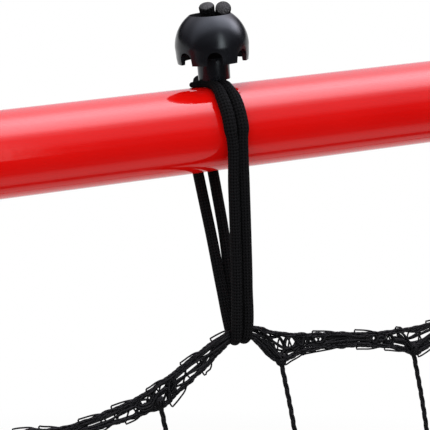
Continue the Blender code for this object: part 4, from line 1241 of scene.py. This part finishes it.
def make_border():
    border = Border()
    rails, lacing, filling, loops = (Strands() for _ in range(4))
    for rail in (0, 1):
        for k in range(4):
            wave = border.waves(RAIL_LAY, math.tau * k / 4 + rail)
            side = 0.00048 * np.sin(wave) + 0.00026 * border.noise(9, 40 + 4 * rail + k)
            proud = 0.00046 * np.sin(2 * wave + 0.6) + 0.0002 * border.noise(12, 60 + k)
            radius = RAIL_THREAD * (1 + 0.16 * border.noise(7, 80 + k + rail))
            border.add_thread(rails, rail, side, proud, radius, 6)

    for k in range(2):
        wave = border.waves(ZIGZAG, math.pi * k)
        wander = 0.9 * border.noise(15, 100 + k)
        share = 0.5 + 0.5 * np.tanh(1.5 * np.sin(wave + wander)) / math.tanh(1.5)
        border.add_thread(lacing, share, 0, (0.0005 - 0.001 * k) * np.cos(wave), LACE_THREAD)
    for k in range(10):
        wander = border.noise(13 + 1.4 * k, 120 + k)
        share = 0.5 + np.clip(0.45 * wander + 0.4 * (k % 5 - 2) / 2, -0.49, 0.49)
        share = border.opened(share, WINDOW_SHARES[k % 5])
        radius = FILL_THREAD * (1 + 0.25 * border.noise(6, 140 + k))
        strands = lacing if k < 4 else filling
        border.add_thread(strands, share, 0, 0.0009 * border.noise(9, 130 + k), radius)

    first, last = (border.place_on_top(HERO_STATION + end * HERO_REACH) for end in (-1, 1))
    count = round(border.length / STITCH)
    for rail, lag in ((1, 0.0), (0, 0.45)):
        for m in range(count):
            start = (m + lag + random.uniform(-0.08, 0.08)) * border.length / count
            reach = random.uniform(0.0056, 0.0082)
            high = random.uniform(0.0019, 0.0024)
            back = random.random() < (0.05 if rail else 0.25)
            if not first < start < last:
                border.add_edge_loop(loops, rail, start, reach, high, back)
    for rail, hero_loops in ((1, HERO_OUTER_LOOPS), (0, HERO_INNER_LOOPS)):
        for u, reach, high in hero_loops:
            start = border.place_on_top(HERO_STATION + u * MM)
            border.add_edge_loop(loops, rail, start, reach * MM, high * MM)
    threads = {"rails": rails, "lacing": lacing, "filling": filling, "loops": loops}
    for name, strands in threads.items():
        new_piece(f"border_{name}", strands.mesh(), "net_twine", "net_frame", "net_border")
    return border


# Net strands and knots

def grid_places():
    """The net's knots in the net plane, drawn in towards the border's shape."""
    columns, rows = net_lines(HALF_WIDTH), net_lines(MIDDLE_HEIGHT)
    places = np.zeros((len(columns), len(rows), 2))
    for a, x in enumerate(columns):
        for b, z in enumerate(rows):
            place = Vector((x, z))
            moved = place.copy()
            for angle, across, half, out in map(side_shape, SIDES):
                outward = Vector(turned(angle, 0, 1))
                last = net_lines(across)[-1]
                inward = (last + MESH - place.dot(outward)) / MESH
                s = max(-half, min(half, place.dot(Vector(turned(angle, 1, 0)))))
                moved += outward * (out(s) - last - MESH) * EDGE_FADE ** max(inward, 0)
            places[a, b] = moved
    return columns, places


def nearest_on(loop, point, way):
    """The index on a loop where it crosses the line through point along way."""
    away = loop - point
    aside = np.abs(away[:, 0] * way[1] - away[:, 1] * way[0])
    return int(np.argmin(aside + 10 * (away @ np.array(way) < 0)))


def add_twine(strands, points):
    """Three plies twisted round a smooth path through the points of the net plane."""
    path = smooth_path(points, 0.0016)
    across, upright = ring_frames(path, (0, 1, 0))
    start = random.uniform(0, math.tau)
    for k in range(3):
        angle = (math.tau * run_along(path) / TWINE_LAY + start + math.tau * k / 3)[:, None]
        offset = across * np.cos(angle) + upright * np.sin(angle)
        ply = placed(path + (TWINE_RADIUS - PLY_RADIUS) * offset)
        strands.add(ply, PLY_RADIUS, 5, up=NET_OUT)


def add_knot(strands, centre, size, wraps, radius, seed, sides=5):
    """A lump of twine wound round a small core, with a few crossing turns."""
    source = np.random.default_rng(seed)
    tilt = source.uniform(0, math.pi)
    t = np.linspace(0, math.tau * wraps, 13 * wraps)
    swing = tilt + t * source.uniform(0.31, 0.43)
    lean = 0.9 * np.sin(t * 0.37 + source.uniform(0, 6))
    x = np.cos(t) * np.cos(swing) - np.sin(t) * np.sin(swing) * np.sin(lean)
    z = np.cos(t) * np.sin(swing) + np.sin(t) * np.cos(swing) * np.sin(lean)
    points = np.stack([x, np.sin(t) * np.cos(lean), z], axis=1) * size + centre
    strands.add(placed(points), radius, sides)


def add_gather(strands, border, index, seed, count):
    """Threads of the border that run together into the knot of a strand."""
    source = np.random.default_rng(seed)
    for k in range(count):
        way = -1 if k < 0.75 * count else 1
        steps = np.arange(0, int(source.uniform(7, 12)))
        share = np.linspace(0, source.uniform(0.25, 1.0), len(steps)) ** 0.8
        rise = source.uniform(-0.0005, 0.0006) * np.sin(steps / 3.0)
        proud = source.uniform(-0.0009, 0.0009) * np.cos(steps / 4.0)
        points = border.laid(share, rise, proud, (index + way * steps) % border.number)
        strands.add(placed(smooth_path(points, 0.0008)), source.uniform(0.0004, 0.00058), 5)


def make_net(border):
    columns, places = grid_places()
    places += random.uniform(-KNOT_JITTER, KNOT_JITTER, places.shape)
    depth = random.uniform(-DEPTH_JITTER, DEPTH_JITTER, places.shape[:2])
    grid = np.stack([places[..., 0], depth, places[..., 1]], axis=-1)
    down, across, knots, gathers = (Strands() for _ in range(4))
    hero_columns = {round((HERO_STATION + u * MM) / MESH): (u, w, lean)
                    for (u, w), lean in zip(HERO_KNOTS, HERO_LEANS)}
    ends = []

    def end_at(point, way):
        """Where a strand that runs on from point meets the border, and how many threads gather."""
        index = nearest_on(border.inner, point[[0, 2]], way)
        x, z = border.inner[index] - END_INSIDE * np.array(way)
        return (x, 0, z), index, GATHERED

    for column, line in zip(columns, grid.copy()):
        bottom, top = end_at(line[0], (0, -1)), end_at(line[-1], (0, 1))
        column = round(column / MESH)
        if column in hero_columns:
            u, w, lean = hero_columns[column]
            end = (HERO_STATION + u * MM, 0, MIDDLE_HEIGHT + w * MM + 0.0015)
            line[-1] = (HERO_STATION + (u + lean) * MM, 0, line[-1][2])
            high = int(np.argmin(np.hypot(*(border.inner - (end[0], end[2])).T)))
            top = end, high, HERO_GATHERED
        ends += [bottom, top]
        middle = np.array(top[0]) * 0.62 + line[-1] * 0.38 + (0.0006, 0, 0)
        add_twine(down, [bottom[0], *line, middle, top[0]])
    for line in grid.transpose(1, 0, 2):
        left, right = end_at(line[0], (-1, 0)), end_at(line[-1], (1, 0))
        ends += [left, right]
        add_twine(across, [left[0], *line, right[0]])
    for a, line in enumerate(grid):
        for b, centre in enumerate(line):
            add_knot(knots, centre, KNOT_SIZE, 5, KNOT_THREAD, 500 + 31 * a + b)
    for i, (end, index, gathered) in enumerate(ends):
        inside = border.normal[index] * 0.0006
        centre = (end[0] + inside[0], 0, end[2] + inside[1])
        add_knot(knots, centre, END_KNOT_SIZE, 9, END_KNOT_THREAD, 900 + i, 6)
        add_gather(gathers, border, index, 1300 + i, gathered)
    threads = {"strands_down": down, "strands_across": across, "knots": knots, "gathers": gathers}
    for name, strands in threads.items():
        new_piece(f"net_{name}", strands.mesh(), "net_twine", "net_frame", "net_mesh")


# Elastic ties

# A cut end from the mouth down the bore: across, forward, height in the ball, and radius, in mm
LEFT_END = (
    (-2.45, 2.9, 27.7, 2.98), (-1.8, 2.0, 25.6, 2.85), (-1.2, 1.0, 23.4, 2.6),
    (-1.3, 0.2, 21.0, 2.20), (-1.7, 0.0, 17.5, 1.60), (-1.45, 0.0, 14.0, 1.40),
    (-1.45, 0.0, 3.0, 1.40), (-1.45, 0.0, 0.4, 1.30),
)
RIGHT_END = (
    (3.35, 5.4, 26.5, 2.98), (3.75, 4.1, 25.7, 2.92), (3.9, 2.2, 24.1, 2.6), (3.1, 0.8, 21.9, 2.20),
    (2.2, 0.1, 19.0, 1.90), (1.5, 0.0, 14.5, 1.40), (1.45, 0.0, 3.0, 1.40), (1.45, 0.0, 0.4, 1.30),
)

# From under the neck to the back: degrees from the ball's angle, share of the way out to the
# back strand's own line, height over the tube's surface and radius in mm
TO_BACK = (
    (-7, 0.0, 1.35, 1.25), (-16, 0.0, 1.40, 1.35), (-24, 0.0, 1.60, 1.50), (-32, 0.1, 1.80, 1.70),
    (-47, 0.3, 2.10, 1.95), (-62, 0.6, 2.25, 2.08), (-78, 0.9, 2.33, 2.13),
)

# From the front to the bight behind the neck: degrees, place across, height and radius
LEFT_TO_BIGHT = (
    (36, -3.2, 2.35, 2.18), (27, -3.2, 2.20, 2.10), (20, -3.35, 1.85, 1.70), (14, -3.8, 1.55, 1.45),
    (4, -5.3, 1.40, 1.30), (-4, -8.2, 1.15, 1.05), (-10, -8.0, 1.15, 1.05), (-17, -5.1, 1.50, 1.25),
    (-23, -1.9, 3.20, 1.35), (-31, -0.7, 4.90, 1.70), (-40, -0.6, 6.10, 1.95),
)
RIGHT_TO_BIGHT = (
    (36, 0.85, 2.35, 2.18), (27, 0.75, 2.20, 2.10), (20, 0.9, 1.85, 1.70), (14, 1.5, 1.55, 1.45),
    (4, 2.9, 1.45, 1.35), (-9, 3.4, 1.70, 1.45), (-22, 3.3, 2.60, 1.65), (-33, 2.8, 4.40, 1.90),
    (-42, 2.4, 5.80, 2.00),
)
BIGHT = (-45, 0.9, 6.40, 2.00)

# How far the strands hang beside their middle lines, by the share of the way down, in mm
WAY_DOWN = (0.0, 0.25, 0.5, 0.75, 1.0)
LEFT_BACK = (-3.7, -3.65, -3.4, -3.5, -3.3)
RIGHT_BACK = (2.7, 2.4, 1.9, 0.4, 0.1)
FRONT_SHIFT = (-0.6, -0.5, -0.4, -0.45, -1.15)
FRONT_SHIFT_TOP = -1.1

# How a cut end narrows: places from it, and shares of the cord's radius
CUT_END = ((0.0, 0.00025, 0.0007), (0.88, 0.97, 1.0))


def tie_half(side, end, back, to_bight, forward):
    """Half of one tie's cord, from its cut end to the bight, as (place, radius) pairs.

    X runs along the tube, Y is back and Z is out from the net, from the tube's axis.
    Angles are from Z towards the front, and forward is the ball's own angle.
    """
    over_tube = TUBE_RADIUS + OVER_TUBE + CORD_RADIUS
    leave = math.pi - math.acos((over_tube - TIE_TURN) / TIE_DROP)
    half = []

    def add_round(x, angle, lift, radius=CORD_RADIUS, drop=0.0):
        half.append(((x, -lift * math.sin(angle), lift * math.cos(angle) - drop), radius))

    def add_measured(x, degrees, height, radius):
        add_round(x, forward + math.radians(degrees), TUBE_RADIUS + height * MM, radius * MM)

    for x, ahead, height, radius in end:
        out = BALL_SEAT + height * MM
        y = -out * math.sin(forward) - ahead * MM * math.cos(forward)
        z = out * math.cos(forward) - ahead * MM * math.sin(forward)
        half.append(((x * MM, y, z), radius * MM))
    under_neck = end[-1][0] * MM
    for degrees, share, height, radius in TO_BACK:
        add_measured(under_neck + (back[0] * MM - under_neck) * share, degrees, height, radius)
    last = forward + math.radians(TO_BACK[-1][0])
    steps = max(3, round((leave + last) / ROUTE_STEP))
    for i in range(1, steps + 1):
        add_round(back[0] * MM, last + (-leave - last) * i / steps, over_tube)

    # Straight down the back, round the border and straight up the front
    front = [side * FRONT_HALF + shift * MM for shift in FRONT_SHIFT]
    high = np.array((over_tube * math.sin(leave), over_tube * math.cos(leave)))
    low = np.array((TIE_TURN * math.sin(leave), TIE_TURN * math.cos(leave) - TIE_DROP))
    for share, x in zip(WAY_DOWN[1:-1], back[1:-1]):
        y, z = high * (1 - share) + low * share
        half.append(((x * MM, y, z), CORD_RADIUS))
    for share in np.linspace(0, 1, 9):
        angle = -leave - (math.tau - 2 * leave) * share
        x = back[-1] * MM + (front[-1] - back[-1] * MM) * share
        squeezed = CORD_RADIUS * (1 - 0.06 * math.sin(math.pi * share))
        add_round(x, angle, TIE_TURN, squeezed, TIE_DROP)
    for share, x in zip(WAY_DOWN[-2:0:-1], front[-2:0:-1]):
        y, z = high * (1 - share) + low * share
        half.append(((x, -y, z), CORD_RADIUS))

    # Over the tube's front, a little flattened, and on to the bight
    rest = leave - forward - math.radians(to_bight[0][0] + 6)
    steps = max(2, round(rest / ROUTE_STEP))
    for i in range(steps + 1):
        share = i / steps
        flat = min(1, 9 * share, 5 * (1.08 - share)) * (FLATTENED - CORD_RADIUS)
        x = front[0] + side * flat + (FRONT_SHIFT_TOP - FRONT_SHIFT[0]) * share * MM
        add_round(x, leave - rest * share, over_tube, CORD_RADIUS + flat)
    for degrees, x, height, radius in to_bight:
        add_measured(x * MM, degrees, height, radius)
    return half


def cord_mesh(forward, ends, sides, step):
    """One tie's whole cord, out of the ball, round the tube and border, and back to the ball."""
    left = tie_half(-1, ends[0], LEFT_BACK, LEFT_TO_BIGHT + (BIGHT,), forward)
    right = tie_half(1, ends[1], RIGHT_BACK, RIGHT_TO_BIGHT, forward)
    places, radii = zip(*left, *right[::-1])
    path, radii = smooth_path(places, step, radii)
    along = run_along(path)
    for end in (along, along[-1] - along):
        radii = radii * np.interp(end, *CUT_END)
    rings = Strands()
    rings.add(path, radii, sides, end_kind=1)
    return rings.mesh()


def ball_mesh():
    """A cup-shaped toggle with a neck, a bore, a funnel mouth and notches in its skirt."""
    shoulder = np.linspace(0, math.acos((BALL_MOUTH + 0.0002) / BALL_RADIUS), 16)
    crown = (BALL_HEIGHT - BALL_WAIST) / math.sin(shoulder[-1])
    outside = [(BALL_RADIUS * math.cos(a), BALL_WAIST + crown * math.sin(a))
               for a in shoulder[::-1]]
    rim = BALL_MOUTH - BALL_RIM
    inner_skirt = SKIRT_RADIUS - SKIRT_WALL
    neck = NECK_RADIUS + NECK_TAPER
    ball = turned_mesh([
        (BORE_RADIUS, 0.0), (BORE_RADIUS, FUNNEL_BOTTOM),
        (BORE_RADIUS + 0.0008, FUNNEL_BOTTOM + 0.002), (rim - 0.0006, BALL_HEIGHT - 0.0022),
        (rim, BALL_HEIGHT - 0.0004), (rim + 0.0003, BALL_HEIGHT),
        *outside,
        (BALL_RADIUS - 0.00006, BALL_WAIST - 0.0003), (SKIRT_RADIUS + 0.0003, SKIRT_BOTTOM + 0.002),
        (SKIRT_RADIUS, SKIRT_BOTTOM), (inner_skirt, SKIRT_BOTTOM),
        (inner_skirt - 0.0006, SKIRT_BOTTOM + 0.004), (neck + 0.0018, BALL_WAIST - 0.0003),
        (neck + 0.0004, BALL_WAIST - 0.0013), (neck, BALL_WAIST - 0.003), (neck, NECK_SEEN),
        (NECK_RADIUS, 0.0), (BORE_RADIUS, 0.0),
    ], 96)
    half = NOTCH_WIDTH / 2
    foot = SKIRT_BOTTOM - NOTCH_HEIGHT
    top = arc((0, SKIRT_BOTTOM + NOTCH_HEIGHT - half), half, 0, math.pi, 14)
    reach = 2 * BALL_RADIUS
    start = NECK_RADIUS + 2 * SKIRT_WALL
    outline = [(half, foot), *top, (-half, foot)]
    notches = [flat_mesh(outline, reach - start) for _ in range(NOTCHES)]
    for i, notch in enumerate(notches):
        turn = Matrix.Rotation(math.tau * i / NOTCHES - BALL_TURN, 4, "Z")
        outward = turn @ Matrix.Translation((0, -(reach + start) / 2, 0))
        notch.transform(outward @ Matrix.Rotation(math.pi / 2, 4, "X"))
    mesh = bevelled(cut(ball, notches), BALL_BEVEL, 3, 38)
    mesh.materials.append(MATERIALS["ball_plastic"])
    mesh.materials.append(BALL_PAINTED_SHADE)
    # Painted shade: faces in the funnel mouth, the bore, the hollow under the skirt and the neck
    # above NECK_SEEN take a near-black matte material for the shade that falls there
    for face in mesh.polygons:
        out = math.hypot(face.center.x, face.center.y)
        high = face.center.z
        funnel = out < BALL_MOUTH + 0.0001 and high > FUNNEL_BOTTOM
        hollow = out < inner_skirt + 0.0001 and NECK_SEEN < high < BALL_WAIST
        if funnel or hollow or out < 1.03 * BORE_RADIUS:
            face.material_index = 1
    return mesh


def loosened(end):
    """The end with its last part leaning its own way."""
    lean = random.uniform(-1.2, 1.2), random.uniform(-1.6, 1.0), random.uniform(-0.6, 0.4)
    made = []
    for place, share in zip(end, (1.0, 0.75, 0.35) + (0,) * (len(end) - 3)):
        moved = [value + share * move for value, move in zip(place, lean)]
        made.append((*moved, place[3]))
    return made


def make_ties():
    ball = ball_mesh()
    toward = Vector((math.cos(CAMERA_YAW), -math.sin(CAMERA_YAW), 0))
    for name in SIDES:
        angle, across, _, _ = side_shape(name)
        forward = BOTTOM_BALL_FORWARD if name == "bottom" else BALL_FORWARD
        for i, cell in enumerate(SIDES[name][1], 1):
            x, z = turned(angle, cell * MESH, across)
            tie = NET_MIDDLE @ Matrix.Translation((x, 0, z)) @ Matrix.Rotation(angle, 4, "Y")
            if name == HERO_SIDE and i == HERO_TIE:
                mesh = cord_mesh(forward, (LEFT_END, RIGHT_END), 32, 0.0005)
                lean = BALL_LEAN
            else:
                mesh = cord_mesh(forward, (loosened(LEFT_END), loosened(RIGHT_END)), 16, 0.0012)
                lean = random.uniform(-BALL_LEAN, BALL_LEAN)
            mesh.materials.append(MATERIALS["elastic_cord"])
            mesh.materials.append(CORD_CORE)
            label = f"{name}_{i}"
            new_piece(f"cord_{label}", mesh, "elastic_cord", "net_frame", f"tie_cord_{label}", tie)
            seat = (0, -BALL_SEAT * math.sin(forward), BALL_SEAT * math.cos(forward))
            place = tie @ Matrix.Translation(seat) @ Matrix.Rotation(forward, 4, "X")
            new_piece(f"ball_{label}", ball.copy(), "ball_plastic", "net_frame",
                      f"tie_ball_{label}", place @ Matrix.Rotation(lean, 4, toward))


make_camera()
make_world()
make_floor()
make_lamp("overhead", (0.2, -0.5, 2.6), (2.4, 1.8), 26)
make_lamp("front_left", (-2.2, -2.4, 1.7), (1.6, 1.6), 16)

MATERIALS = {
    "red_powder_coat": red_paint(),
    "elastic_cord": braided_cord(),
    "ball_plastic": moulded(
        "ball_plastic", (0.0058, 0.0060, 0.0078), 0.24, 1600, 0.00003,
        Specular_IOR_Level=0.32, Specular_Tint=(0.80, 0.90, 0.96, 1),
    ),
    "black_plastic": moulded("knob_plastic", (0.014, 0.014, 0.015), 0.42, 1400, 0.00004),
    "black_rubber": moulded("foot_rubber", (0.016, 0.016, 0.016), 0.66, 900, 0.00006),
    "net_twine": twine("net_twine_black", (0.0034, 0.0035, 0.0042), 0.42),
    "zinc_plate": plated("zinc_plate", (0.56, 0.57, 0.58), 0.34, 4.0),
    "zinc_bolt": plated("zinc_bolt", (0.62, 0.62, 0.62), 0.27, 40.0),
}
MATERIALS["spring_steel"] = MATERIALS["zinc_bolt"]
CORD_CORE = cord_core()
# Near-black matte plastic, painted as the shade inside the ball's mouth, bore and hollow
BALL_PAINTED_SHADE = moulded(
    "ball_painted_shade", (0.0022, 0.0022, 0.0026), 0.6, 900, 0.00005, Specular_IOR_Level=0.02
)

make_tubes()
make_fittings()
make_net(make_border())
make_ties()
make_springs()

bpy.context.scene.view_settings.view_transform = "Standard"
